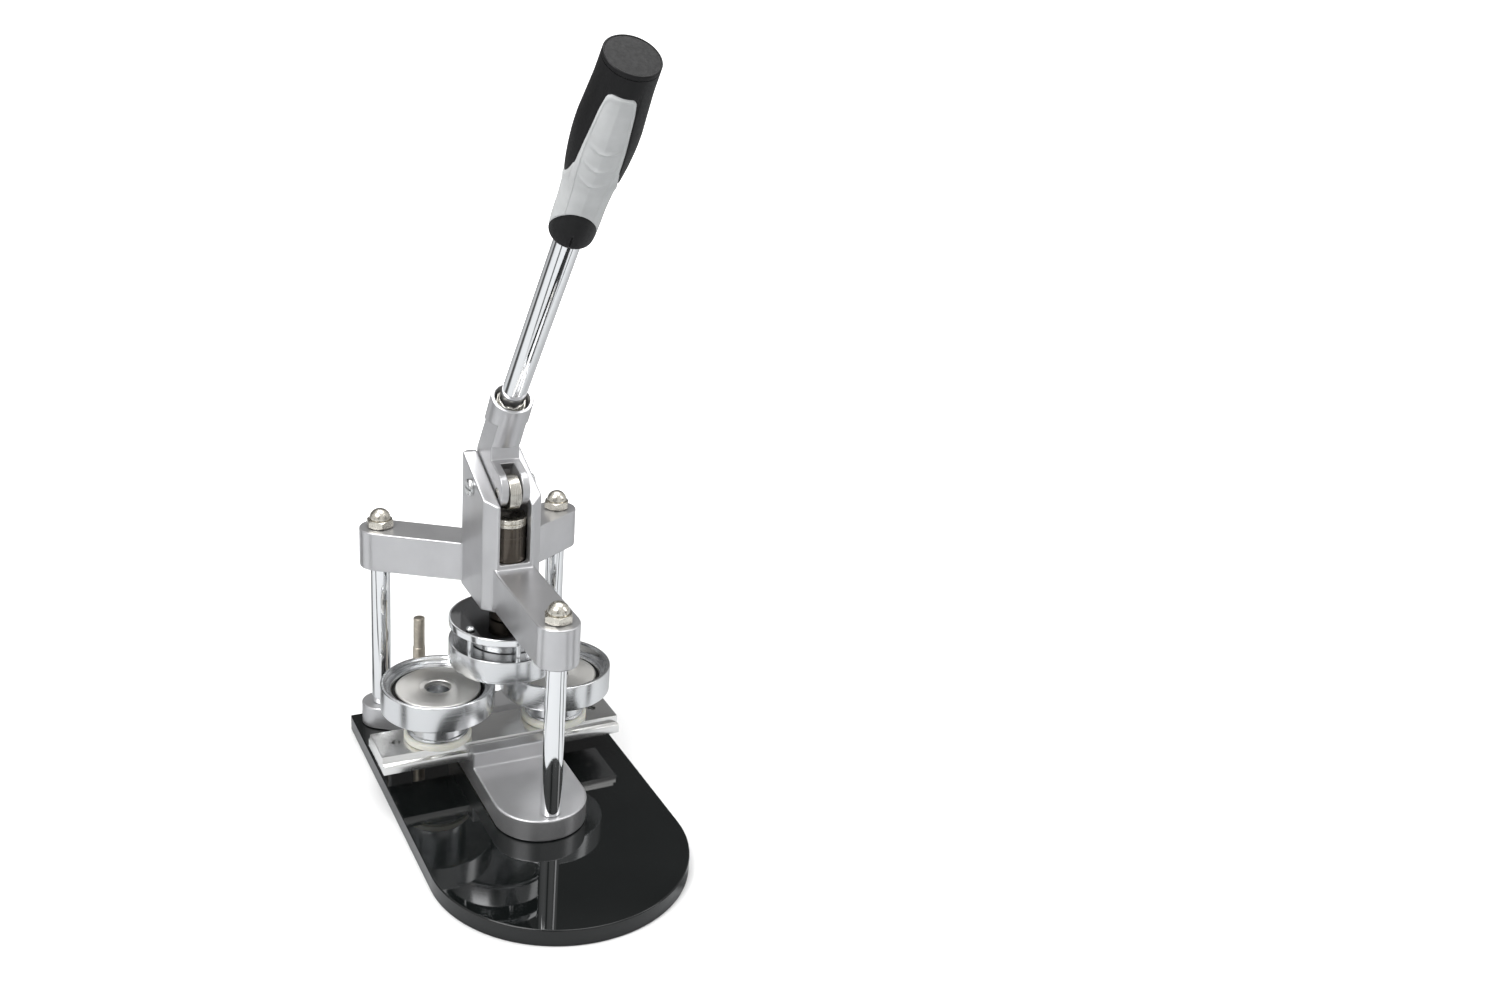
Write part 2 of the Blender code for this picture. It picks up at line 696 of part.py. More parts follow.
def collar_edge(angle):
    """Height of the border between the black collar and the grey sleeve."""
    front = max(0.0, math.cos(math.radians(angle)))
    return (COLLAR_SIDE + COLLAR_RISE * front) * GRIP_LENGTH


def shifted(edge, angle, side):
    """An edge moved along the rod, so that half a gap is left on the given side of it."""
    step = 2.0
    turn = min(max(abs(angle), step), 180.0 - step)
    width = math.radians(2.0 * step) * GRIP_TOP_R
    slope = (edge(turn + step) - edge(turn - step)) / width
    return edge(angle) + side * 0.5 * GAP * math.hypot(1.0, slope)


def sleeve(name, low_edge, high_edge, rows, mat):
    """A tube on the rod between two borders that change with the angle."""
    bm = bmesh.new()
    columns = []
    for angle in grip_angles():
        low = low_edge(angle)
        high = high_edge(angle)
        turn = math.radians(angle + TONGUE_TURN)
        outline = [(GRIP_BORE_R, low)]
        for k in range(rows + 1):
            height = low + (high - low) * (k / rows) ** 1.3
            outline.append((between(GRIP_PROFILE, height / GRIP_LENGTH), height))
        outline.append((GRIP_BORE_R, high))
        points = [(r * math.cos(turn), r * math.sin(turn), GRIP_START + h) for r, h in outline]
        columns.append([bm.verts.new(point) for point in points])
    last = rows + 2
    for i, here in enumerate(columns):
        after = columns[(i + 1) % len(columns)]
        for k in range(1, last - 1):
            bm.faces.new((here[k], after[k], after[k + 1], here[k + 1]))
        bm.faces.new((here[last], after[last], after[0], here[0]))
        bm.faces.new((here[0], after[0], here[1]))
        bm.faces.new((after[0], after[1], here[1]))
        bm.faces.new((here[last - 1], after[last - 1], after[last]))
        bm.faces.new((here[last - 1], after[last], here[last]))
    bmesh.ops.transform(bm, matrix=lean(ROD_POINT, ROD_TILT), verts=bm.verts[:])
    smooth(place(name, bm, mat, PIVOT))


def grip(mats):
    """The grip: a black collar, a grey sleeve with a tongue, a black sleeve and a top disc."""
    disc_low = GRIP_LENGTH - GRIP_DISC_T
    collar_top = lambda a: shifted(collar_edge, a, -1.0)
    grey_low = lambda a: shifted(collar_edge, a, 1.0)
    grey_high = lambda a: shifted(tongue_edge, a, -1.0)
    black_low = lambda a: shifted(tongue_edge, a, 1.0)
    sleeve("grip_collar", lambda a: 0.0, collar_top, 5, mats["grip_black"])
    sleeve("grip_sleeve_grey", grey_low, grey_high, 10, mats["grip_grey"])
    sleeve("grip_sleeve_black", black_low, lambda a: disc_low - GAP, 10, mats["grip_black"])
    low = GRIP_START + disc_low
    top = GRIP_START + GRIP_LENGTH
    disc = [(0.0, low), (GRIP_TOP_R, low), (GRIP_TOP_R, top - 0.6), (GRIP_TOP_R - 0.6, top), (0.0, top)]
    frame = lean(ROD_POINT, ROD_TILT)
    smooth(place("grip_top_disc", lathe(disc, frame), mats["grip_black"], PIVOT))


def ram(mats):
    """The ram and the nickel cap that the roller presses."""
    profile = [
        (0.0, RAM_BOTTOM),
        (RAM_R, RAM_BOTTOM),
        (RAM_R, CAP_BOTTOM - GAP),
        (0.0, CAP_BOTTOM - GAP),
    ]
    smooth(place("ram", lathe(profile), mats["ram_dark_steel"]))
    cap = [
        (0.0, CAP_BOTTOM),
        (RAM_R, CAP_BOTTOM),
        (RAM_R, CAP_GROOVE_Z - 0.3),
        (RAM_R - 0.4, CAP_GROOVE_Z),
        (RAM_R, CAP_GROOVE_Z + 0.3),
        (RAM_R, CAP_TOP - 0.5),
        (RAM_R - 0.5, CAP_TOP),
        (0.0, CAP_TOP),
    ]
    smooth(place("ram_cap", lathe(cap), mats["nut_nickel"]))


def upper_die(mats):
    """The flange under the ram and the die core below it."""
    flange = [
        (0.0, FLANGE_BOTTOM),
        (FLANGE_R - 0.4, FLANGE_BOTTOM),
        (FLANGE_R, FLANGE_BOTTOM + 0.4),
        (FLANGE_R, FLANGE_TOP - 0.6),
        (FLANGE_R - 0.6, FLANGE_TOP),
        (0.0, FLANGE_TOP),
    ]
    disc = place("upper_flange", lathe(flange, None, DIE_SEG), mats["die_chrome"])
    smooth(disc)
    for index, (x, y) in enumerate(bolt_points()):
        hole = cylinder(BOLT_R + GAP, FLANGE_BOTTOM - 2.0, FLANGE_TOP + 2.0, x, y, 20)
        combine(disc, hole, "DIFFERENCE", "cut_flange_hole_%d" % index)
    core = [
        (0.0, CORE_BOTTOM + 1.5),
        (CORE_FACE_R - 8.0, CORE_BOTTOM + 1.5),
        (CORE_FACE_R - 6.0, CORE_BOTTOM),
        (CORE_FACE_R, CORE_BOTTOM),
        (CORE_FACE_R, CORE_FACE_TOP),
        (CORE_NECK_R, CORE_FACE_TOP),
        (CORE_NECK_R, FLANGE_BOTTOM - GAP),
        (0.0, FLANGE_BOTTOM - GAP),
    ]
    smooth(place("upper_core", lathe(core, None, DIE_SEG), mats["die_chrome"]))


def bolt_points():
    """Centres of the upper ring's guide bolts."""
    points = []
    for degrees in BOLT_ANGLES:
        angle = math.radians(degrees)
        points.append((BOLT_CIRCLE_R * math.cos(angle), BOLT_CIRCLE_R * math.sin(angle)))
    return points


def upper_ring(mats):
    """The floating ring round the upper die, hung from the flange on guide bolts."""
    web = UPPER_RING_TOP - UPPER_WEB_T
    profile = [
        (UPPER_RING_BORE_R, UPPER_RING_BOTTOM),
        (UPPER_RING_R - 1.4, UPPER_RING_BOTTOM),
        (UPPER_RING_R - 1.4, UPPER_RING_BOTTOM + 1.2),
        (UPPER_RING_R, UPPER_RING_BOTTOM + 2.2),
        (UPPER_RING_R, UPPER_RING_TOP - 0.6),
        (UPPER_RING_R - 0.6, UPPER_RING_TOP),
        (UPPER_WEB_BORE_R, UPPER_RING_TOP),
        (UPPER_WEB_BORE_R, web),
        (UPPER_RING_BORE_R, web),
    ]
    ring = place("upper_ring", lathe(profile, None, DIE_SEG), mats["die_chrome"])
    smooth(ring)
    low = web + 0.6
    for index, (x, y) in enumerate(bolt_points()):
        hole = cylinder(BOLT_R + GAP, low, UPPER_RING_TOP + 2.0, x, y, 20)
        combine(ring, hole, "DIFFERENCE", "cut_ring_hole_%d" % index)
        guide_bolt("guide_bolt_%d" % (index + 1), x, y, low + GAP, mats)


def guide_bolt(name, x, y, low, mats):
    """A thin bolt with a round head on the flange."""
    seat = FLANGE_TOP + GAP
    profile = [
        (0.0, low),
        (BOLT_R, low),
        (BOLT_R, seat),
        (BOLT_HEAD_R, seat),
        (BOLT_HEAD_R, seat + BOLT_HEAD_T - 0.7),
        (BOLT_HEAD_R - 0.9, seat + BOLT_HEAD_T),
        (0.0, seat + BOLT_HEAD_T),
    ]
    smooth(place(name, lathe(profile, Matrix.Translation((x, y, 0.0)), 24), mats["die_chrome"]))


def slide_plate(mats):
    """The plate that carries both lower dies: a wide flange with a narrower layer on top."""
    x0 = PLATE_MID_X - PLATE_HALF_LENGTH
    x1 = PLATE_MID_X + PLATE_HALF_LENGTH
    section = [
        (-PLATE_FLANGE_HALF, PLATE_BOTTOM),
        (PLATE_FLANGE_HALF, PLATE_BOTTOM),
        (PLATE_FLANGE_HALF, PLATE_LEDGE),
        (PLATE_TOP_HALF, PLATE_LEDGE),
        (PLATE_TOP_HALF, PLATE_TOP),
        (-PLATE_TOP_HALF, PLATE_TOP),
        (-PLATE_TOP_HALF, PLATE_LEDGE),
        (-PLATE_FLANGE_HALF, PLATE_LEDGE),
    ]
    body = place("slide_plate", prism(section, x0, x1, side_frame()), mats["plate_aluminium"])
    for tag, x in (("left", x0 + PLATE_HOLE_INSET), ("right", x1 - PLATE_HOLE_INSET)):
        hole = cylinder(PLATE_HOLE_R, PLATE_BOTTOM - 2.0, PLATE_TOP + 2.0, x, 0.0, 28)
        combine(body, hole, "DIFFERENCE", "cut_plate_hole_" + tag)


def die_x(sign):
    """The X of a lower die's centre."""
    return PLATE_MID_X + sign * DIE_SPACING / 2.0


def nylon_ring(side, sign, mats):
    """The pale ring round the foot of a lower die."""
    low = PLATE_TOP + GAP
    profile = [
        (DIE_NECK_R + GAP, low),
        (NYLON_R - 0.6, low),
        (NYLON_R, low + 0.6),
        (NYLON_R, low + NYLON_T - 1.4),
        (NYLON_R - 1.4, low + NYLON_T),
        (DIE_NECK_R + GAP, low + NYLON_T),
    ]
    frame = Matrix.Translation((die_x(sign), 0.0, 0.0))
    smooth(place("nylon_ring_" + side, lathe(profile, frame), mats["nylon_ivory"]))


def die_base(side, sign, face_z, mats):
    """The fixed neck of a lower die, with a wider seat for the die face."""
    low = PLATE_TOP + GAP
    seat = face_z - DIE_FACE_T - GAP
    profile = [
        (0.0, low),
        (DIE_NECK_R, low),
        (DIE_NECK_R, seat - DIE_SEAT_T),
        (DIE_SEAT_R, seat - DIE_SEAT_T),
        (DIE_SEAT_R, seat),
        (DIE_HOLE_R - 1.0, seat),
        (DIE_HOLE_R - 1.0, seat - 12.0),
        (0.0, seat - 12.0),
    ]
    frame = Matrix.Translation((die_x(sign), 0.0, 0.0))
    smooth(place("die_base_" + side, lathe(profile, frame), mats["die_chrome"]))


def die_face(side, sign, face_z, mats):
    """The turned disc on top of a lower die."""
    low = face_z - DIE_FACE_T
    profile = [
        (DIE_HOLE_R, low),
        (DIE_FACE_R, low),
        (DIE_FACE_R, face_z - 0.5),
        (DIE_FACE_R - 0.5, face_z),
        (DIE_HOLE_R + 0.5, face_z),
        (DIE_HOLE_R, face_z - 0.5),
    ]
    frame = Matrix.Translation((die_x(sign), 0.0, 0.0))
    smooth(place("die_face_" + side, lathe(profile, frame, DIE_SEG), mats["die_face_steel"]))


def die_ring(side, sign, step_z, mats):
    """The sprung ring round a lower die: a deep skirt with a web at its foot."""
    profile = [
        (DIE_NECK_R + GAP, LOWER_RING_BOTTOM),
        (LOWER_RING_R - 0.6, LOWER_RING_BOTTOM),
        (LOWER_RING_R, LOWER_RING_BOTTOM + 0.6),
        (LOWER_RING_R, LOWER_RING_TOP - 0.8),
        (LOWER_RING_R - 0.8, LOWER_RING_TOP),
        (LOWER_RING_BORE_R + 0.8, LOWER_RING_TOP),
        (LOWER_RING_BORE_R, LOWER_RING_TOP - 0.8),
        (LOWER_RING_BORE_R, step_z + 1.6),
        (LOWER_RING_STEP_R + 0.8, step_z + 1.6),
        (LOWER_RING_STEP_R, step_z),
        (LOWER_RING_STEP_R, LOWER_RING_BOTTOM + LOWER_WEB_T),
        (DIE_NECK_R + GAP, LOWER_RING_BOTTOM + LOWER_WEB_T),
    ]
    frame = Matrix.Translation((die_x(sign), 0.0, 0.0))
    smooth(place("die_ring_" + side, lathe(profile, frame, DIE_SEG), mats["die_chrome"]))


def materials():
    """Every material, by name."""
    listing = (
        ("board_gloss_black", (0.012, 0.013, 0.013), 0.08, 0.0),
        ("casting_silver", (0.60, 0.61, 0.63), 0.34, 0.75),
        ("column_chrome", (0.80, 0.81, 0.83), 0.07, 1.0),
        ("die_chrome", (0.78, 0.79, 0.80), 0.12, 1.0),
        ("die_face_steel", (0.66, 0.65, 0.63), 0.30, 1.0),
        ("nylon_ivory", (0.82, 0.81, 0.72), 0.42, 0.0),
        ("plate_aluminium", (0.78, 0.77, 0.74), 0.30, 1.0),
        ("nut_nickel", (0.66, 0.60, 0.50), 0.22, 1.0),
        ("post_nickel", (0.50, 0.45, 0.38), 0.34, 1.0),
        ("ram_dark_steel", (0.16, 0.14, 0.12), 0.30, 1.0),
        ("bearing_steel", (0.52, 0.50, 0.46), 0.20, 1.0),
        ("screw_zinc", (0.74, 0.75, 0.75), 0.25, 1.0),
        ("grip_black", (0.018, 0.018, 0.019), 0.55, 0.0),
        ("grip_grey", (0.36, 0.37, 0.37), 0.60, 0.0),
    )
    return {name: material(name, color, rough, metal) for name, color, rough, metal in listing}


def build():
    """Builds every piece."""
    clear_scene()
    mats = materials()
    base_board(mats)
    base_casting(mats)
    column("column_front", *FRONT_COLUMN, PLINTH_TOP + GAP, mats)
    column("column_rear_left", -REAR_COLUMN[0], REAR_COLUMN[1], PLINTH_TOP + 1.0 + GAP, mats)
    column("column_rear_right", *REAR_COLUMN, PLINTH_TOP + 1.0 + GAP, mats)
    head_casting(mats)
    cap_nut("cap_nut_front", *FRONT_COLUMN, mats)
    cap_nut("cap_nut_rear_left", -REAR_COLUMN[0], REAR_COLUMN[1], mats)
    cap_nut("cap_nut_rear_right", *REAR_COLUMN, mats)
    pivot_bolt(mats)
    pivot_cap(mats)
    rear_post(mats)
    lever_hub(mats)
    roller_pin(mats)
    roller(mats)
    lever_rod(mats)
    grip(mats)
    ram(mats)
    upper_die(mats)
    upper_ring(mats)
    slide_plate(mats)
    for side, sign, face_z, step_z in (
        ("left", -1.0, LEFT_FACE_Z, LOWER_RING_STEP_Z),
        ("right", 1.0, RIGHT_FACE_Z, RIGHT_FACE_Z - 1.4),
    ):
        nylon_ring(side, sign, mats)
        die_base(side, sign, face_z, mats)
        die_face(side, sign, face_z, mats)
        die_ring(side, sign, step_z, mats)


build()
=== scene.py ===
"""Looks of a button badge maker: a silver hand press with chrome columns on a black board.
Lengths inside the modelling functions are millimetres; objects are placed in metres."""

import math

import bmesh
import bpy
from mathutils import Matrix, Vector

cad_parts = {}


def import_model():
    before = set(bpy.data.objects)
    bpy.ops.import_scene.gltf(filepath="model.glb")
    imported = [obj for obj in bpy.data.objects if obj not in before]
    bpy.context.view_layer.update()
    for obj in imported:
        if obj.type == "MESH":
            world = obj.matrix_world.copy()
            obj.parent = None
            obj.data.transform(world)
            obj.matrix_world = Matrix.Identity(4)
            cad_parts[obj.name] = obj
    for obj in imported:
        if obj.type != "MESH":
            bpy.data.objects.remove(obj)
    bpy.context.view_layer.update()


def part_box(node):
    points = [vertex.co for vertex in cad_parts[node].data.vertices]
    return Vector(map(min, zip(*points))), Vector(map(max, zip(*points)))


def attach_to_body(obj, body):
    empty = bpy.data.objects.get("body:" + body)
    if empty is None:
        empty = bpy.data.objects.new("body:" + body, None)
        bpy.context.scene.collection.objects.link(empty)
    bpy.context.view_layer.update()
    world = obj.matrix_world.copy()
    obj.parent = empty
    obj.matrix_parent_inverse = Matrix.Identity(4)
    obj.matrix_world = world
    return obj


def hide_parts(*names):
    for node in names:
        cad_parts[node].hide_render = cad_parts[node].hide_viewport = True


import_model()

MM = 0.001
# Segments of round pieces.
ROUND = 128
FINE = 192

# Camera, in metres and degrees.
CAMERA_AT = (-0.3022, -0.8618, 0.5754)
CAMERA_AZIMUTH = -29.49
CAMERA_ELEVATION = 21.06
CAMERA_ROLL = 5.10
SENSOR = 36.0
FOCAL = 34.56

# Lever axes: a point on each axis in millimetres and its forward tilt in degrees.
SOCKET_RIM = (0.0, -1.1, 286.5)
SOCKET_TILT = 31.0
SOCKET_R = 14.2
SOCKET_LENGTH = 48.0
SOCKET_BORE_R = 11.6
SOCKET_BORE_DEPTH = 15.0
ROD_POINT = (0.0, -0.8, 286.7)
ROD_TILT = 35.9
ROD_R = 8.2
ROD_BELOW = 29.0

# Grip: heights are shares of its length; angles are degrees from the middle of the grey tongue.
GRIP_START = 155.5
GRIP_LENGTH = 130.4
GRIP_BORE_R = ROD_R + 0.3
GRIP_TOP_R = 15.9
GRIP_DISC_T = 3.0
TONGUE_TURN = -111.0
GRIP_PROFILE = (
    (0.0, 11.4), (0.006, 12.6), (0.02, 13.3), (0.06, 13.8), (0.12, 14.0), (0.21, 14.0), (0.26, 14.3),
    (0.30, 14.6), (0.36, 15.2), (0.40, 16.0), (0.45, 16.8), (0.50, 17.4), (0.58, 18.0), (0.66, 18.0),
    (0.72, 17.5), (0.80, 16.8), (0.88, 16.2), (1.0, 15.9),
)
TONGUE_EDGE = (
    (0.0, 0.883), (20.0, 0.883), (26.0, 0.875), (30.0, 0.86), (33.0, 0.82), (35.0, 0.78), (37.0, 0.69),
    (40.0, 0.61), (42.0, 0.56), (46.0, 0.49), (50.0, 0.47), (55.0, 0.44), (65.0, 0.40), (78.0, 0.37),
    (95.0, 0.35), (120.0, 0.34), (180.0, 0.34),
)
COLLAR_SIDE = 0.025
COLLAR_RISE = 0.19
COLLAR_SLIT_TOP = 0.09
RIBS = (0.605, 0.505, 0.41)
RIB_SPREAD = 34.0
SEAM_TOP = 0.86
GRIP_MEAN_R = 16.0
JOINT = 0.05

# Hub: its side view (y, z), the flats that narrow the socket's foot, and the slot for the roller.
HUB_HALF = 9.9
EAR_AT = (-1.5, 223.5)
EAR_R = 12.0
HUB_BACK = ((40.0, 230.0), (41.6, 234.0), (41.4, 238.5), (23.6, 265.5))
HUB_FRONT = ((10.5, 249.6), (10.5, 239.2))
SOCKET_FLAT_HALF = 9.85
SOCKET_FLAT_TOP = 268.0
SHELF_Y = 10.45
SHELF_TOP = 249.4
EAR_SLOT = ((-20.0, 200.0), (8.0, 200.0), (12.5, 204.5), (12.5, 232.0), (6.0, 238.0), (-20.0, 238.0))
EAR_SLOT_HALF = 4.7
LOCK_RING_R = 11.2
LOCK_RING_LOW = -14.0
LOCK_RING_HIGH = -4.5
LOCK_RING_TOP_R = 10.4
LOCK_RING_SHOULDER = -5.8

# Lower casting, and the channel that holds the plate.
PLINTH_HALF = 31.5
PLINTH_BACK = 55.0
RAIL_BACK = 29.1
RAIL_RISE = 12.0
BOSS_R = 14.2
BOSS_RISE = 1.0
CHANNEL_HALF = 21.3
CHANNEL_GAP = 0.4
CHANNEL_DEPTH = 6.6
MOUTH_HALF = 17.0

# Upper casting.
ARM_HALF = 14.4
ARM_JOIN = (0.0, 41.8)
ARM_LOW = 140.3
ARM_TOP = 168.9
TOWER_HALF = 20.5
TOWER_CUT = 8.0
TOWER_REAR_CUT = 3.0
TOWER_FRONT = -14.2
TOWER_BACK = 42.0
CHEEK_FRONT = (-24.2, 210.5)
CHEEK_REAR_Y = 38.5
SLOT_HALF = 10.6
SLOT_FLOOR = 172.4
SLOT_REAR_Y = 31.0
SLOT_REAR_FLOOR = 205.0
RAM_BORE_R = 12.4
RAM_BORE_TOP = 210.0
BEYOND = 5.0

# Fasteners, pins and the roller.
STUD_R = 5.0
STUD_HOLE_R = 5.4
NUT_FLATS = 17.0
NUT_CORNER_R = 9.9
NUT_WASHER_R = 8.2
NUT_NECK_R = 6.6
NUT_DOME_R = 7.2
NUT_DOME_RISE = 6.8
NUT_HEIGHT = 13.4
SCREW_FACE = 20.8
SCREW_R = 6.0
SCREW_SIDE = 1.3
SCREW_CROWN = 1.7
SCREW_SLOT_HALF = 0.75
PIVOT_R = 4.0
PIN_HOLE_R = 4.3
ROLLER_PIN_R = 3.4
ROLLER_HALF = 4.0
ROLLER_R = 12.0
BOLT_R = 1.9
BOLT_HOLE_R = 2.25
BOLT_HEAD_R = 3.0
BOLT_HEAD_RISE = 2.2

# Plate and dies.
FLANGE_RIM = (37.9, 38.5)
PLATE_TOP_HALF = 16.6
PLATE_LEDGE = 6.2
PLATE_HOLE_R = 2.9
PLATE_HOLE_INSET = 13.6
NECK_R = 20.2
NECK_COLLAR_R = 21.4
SEAT_R = 28.6
SEAT_T = 3.0
DIE_HOLE_R = 9.0
SKIRT_BORE_R = 35.6
SKIRT_STEP_R = 31.2
WEB_BORE_R = 20.5
# Inner radius of the dark ring that stands in the lower die's gap as painted shade.
SHADE_RING_R = 29.3
CORE_NECK_R = 25.5
CORE_LAND_R = 26.3
UPPER_BORE_R = 35.3
UPPER_WEB_BORE_R = 26.5
UPPER_WEB_T = 4.2

# Voxel size, smoothing steps and share of triangles kept for a cast surface.
CAST_COARSE = (0.6, 6, 0.3)
CAST_FINE = (0.42, 5, 0.35)

# Brightness of the room's walls by compass angle in degrees (0 is +X, -90 is the front).
ROOM_WALLS = (
    (-180.0, 0.75), (-150.0, 0.85), (-128.0, 0.60), (-122.0, 0.12), (-112.0, 0.12), (-104.0, 0.70),
    (-70.0, 0.80), (-48.0, 0.65), (-42.0, 0.12), (-30.0, 0.12), (-22.0, 0.70), (25.0, 0.55),
    (50.0, 0.16), (130.0, 0.14), (155.0, 0.60), (180.0, 0.75),
)
ROOM_CEILING = 0.85
# Dark sectors painted into the floor for every ray but the camera's, painted reflection of dark things round
# the room and painted shade in its bounce light: heading, half width and strength.
PAINTED_FLOOR_GAPS = (
    (-36.0, 4.5, 1.0), (-66.0, 3.0, 1.0), (134.0, 9.0, 1.0), (-172.0, 5.0, 1.0), (60.0, 55.0, 0.4),
)

class Node:
    """The place of a CAD node, in millimetres: its box, middle and outer radius."""

    def __init__(self, name):
        low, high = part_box(name)
        self.low = low / MM
        self.high = high / MM
        self.mid = (self.low + self.high) / 2.0
        self.radius = (self.high.x - self.low.x) / 2.0
        self.z0 = self.low.z
        self.z1 = self.high.z

# ---- shader helpers

class Shader:
    """A Principled material under construction, with short calls for its usual nodes."""

    def __init__(self, name, color, roughness, metallic=0.0, **sockets):
        self.mat = bpy.data.materials.new(name)
        self.mat.use_nodes = True
        self.tree = self.mat.node_tree
        self.main = self.tree.nodes["Principled BSDF"]
        self.main.inputs["Base Color"].default_value = (*color, 1.0)
        self.main.inputs["Roughness"].default_value = roughness
        self.main.inputs["Metallic"].default_value = metallic
        for key, value in sockets.items():
            self.main.inputs[key.replace("_", " ")].default_value = value
        self.coords = self.tree.nodes.new("ShaderNodeTexCoord").outputs["Object"]

    def link(self, source, target):
        self.tree.links.new(source, target)

    def noise(self, size, detail=3.0, roughness=0.5, stretch=(1.0, 1.0, 1.0)):
        """Noise with features about size millimetres across, stretched along an axis."""
        mapping = self.tree.nodes.new("ShaderNodeMapping")
        mapping.inputs["Scale"].default_value = [1.0 / s for s in stretch]
        self.link(self.coords, mapping.inputs["Vector"])
        node = self.tree.nodes.new("ShaderNodeTexNoise")
        node.inputs["Scale"].default_value = 1.0 / (size * MM)
        node.inputs["Detail"].default_value = detail
        node.inputs["Roughness"].default_value = roughness
        self.link(mapping.outputs["Vector"], node.inputs["Vector"])
        return node.outputs["Fac"]

    def radius(self, axis):
        """Distance from the piece's own axis, in metres."""
        split = self.tree.nodes.new("ShaderNodeSeparateXYZ")
        self.link(self.coords, split.inputs["Vector"])
        squares = [self.math("MULTIPLY", split.outputs[k], split.outputs[k]) for k in "XYZ" if k != axis]
        return self.math("SQRT", self.math("ADD", squares[0], squares[1]))

    def rings(self, spacing, axis="Z"):
        """Noise that depends only on the distance from the piece's own axis and the height."""
        split = self.tree.nodes.new("ShaderNodeSeparateXYZ")
        self.link(self.coords, split.inputs["Vector"])
        radius = self.radius(axis)
        join = self.tree.nodes.new("ShaderNodeCombineXYZ")
        self.link(radius, join.inputs["X"])
        self.link(split.outputs[axis], join.inputs["Y"])
        node = self.tree.nodes.new("ShaderNodeTexNoise")
        node.inputs["Scale"].default_value = 1.0 / (spacing * MM)
        node.inputs["Detail"].default_value = 4.0
        node.inputs["Roughness"].default_value = 0.7
        self.link(join.outputs["Vector"], node.inputs["Vector"])
        return node.outputs["Fac"]

    def math(self, operation, a, b=None):
        node = self.tree.nodes.new("ShaderNodeMath")
        node.operation = operation
        for socket, value in zip(node.inputs, (a, b)):
            if value is None:
                continue
            if isinstance(value, (int, float)):
                socket.default_value = value
            else:
                self.link(value, socket)
        return node.outputs[0]

    def span(self, source, low, high, from_low=0.3, from_high=0.7):
        """Maps a noise value onto low..high."""
        node = self.tree.nodes.new("ShaderNodeMapRange")
        node.inputs["From Min"].default_value = from_low
        node.inputs["From Max"].default_value = from_high
        node.inputs["To Min"].default_value = low
        node.inputs["To Max"].default_value = high
        self.link(source, node.inputs["Value"])
        return node.outputs["Result"]

    def roughness(self, source, low, high):
        self.link(self.span(source, low, high), self.main.inputs["Roughness"])
        return self

    def tint(self, source, first, second):
        """Blends the base colour between two colours."""
        node = self.tree.nodes.new("ShaderNodeMix")
        node.data_type = "RGBA"
        node.inputs["A"].default_value = (*first, 1.0)
        node.inputs["B"].default_value = (*second, 1.0)
        self.link(self.span(source, 0.0, 1.0), node.inputs["Factor"])
        self.link(node.outputs["Result"], self.main.inputs["Base Color"])
        return self

    def bump(self, source, depth, strength=1.0):
        """Adds a bump whose full height is depth millimetres."""
        node = self.tree.nodes.new("ShaderNodeBump")
        node.inputs["Strength"].default_value = strength
        node.inputs["Distance"].default_value = depth * MM
        self.link(source, node.inputs["Height"])
        before = self.main.inputs["Normal"].links
        if before:
            self.link(before[0].from_socket, node.inputs["Normal"])
        self.link(node.outputs["Normal"], self.main.inputs["Normal"])
        return self

def board_material():
    """Glossy black sheet with faint waves and a trace of green."""
    s = Shader("board_gloss_black", (0.006, 0.007, 0.007), 0.02, IOR=1.47)
    s.tint(s.noise(60.0), (0.004, 0.005, 0.005), (0.006, 0.007, 0.007))
    s.roughness(s.noise(14.0, 6.0, 0.6), 0.012, 0.03)
    s.bump(s.noise(60.0, 2.0), 0.003)
    return s.mat

def casting_material():
    """Satin silver paint on a cast surface."""
    s = Shader("casting_silver", (0.57, 0.57, 0.58), 0.32, 0.82, Coat_Weight=0.15, Coat_Roughness=0.2)
    s.tint(s.noise(25.0, 4.0), (0.54, 0.54, 0.55), (0.60, 0.60, 0.61))
    s.roughness(s.noise(1.2, 5.0, 0.6), 0.28, 0.35)
    s.bump(s.noise(9.0, 3.0), 0.05, 0.7)
    s.bump(s.noise(0.45, 3.0, 0.6), 0.006, 0.7)
    return s.mat

def chrome_material(name, color, rough):
    """Bright chrome with faint smears."""
    s = Shader(name, color, rough, 1.0)
    s.roughness(s.noise(18.0, 6.0, 0.65), rough * 0.7, rough * 1.6)
    s.bump(s.noise(22.0, 2.0), 0.008)
    return s.mat

def turned_material(name, color, rough, spacing, depth, axis="Z", mixed=0.06):
    """Metal with fine lathe lines round the piece's own axis."""
    s = Shader(name, color, rough, 1.0)
    lines = s.rings(spacing, axis)
    darker = tuple(c - mixed for c in color)
    lighter = tuple(c + mixed for c in color)
    s.tint(lines, darker, lighter)
    s.roughness(lines, rough * 0.75, rough * 1.35)
    s.bump(lines, depth, 0.6)
    return s

def face_material():
    """The turned face of a lower die, whose lines spread the highlight into a bow tie."""
    s = turned_material("die_face_steel", (0.74, 0.73, 0.70), 0.34, 0.35, 0.002, "Z", 0.025)
    s.main.inputs["Anisotropic"].default_value = 0.6
    tangent = s.tree.nodes.new("ShaderNodeTangent")
    tangent.direction_type = "RADIAL"
    tangent.axis = "Z"
    s.link(tangent.outputs["Tangent"], s.main.inputs["Tangent"])
    return s.mat

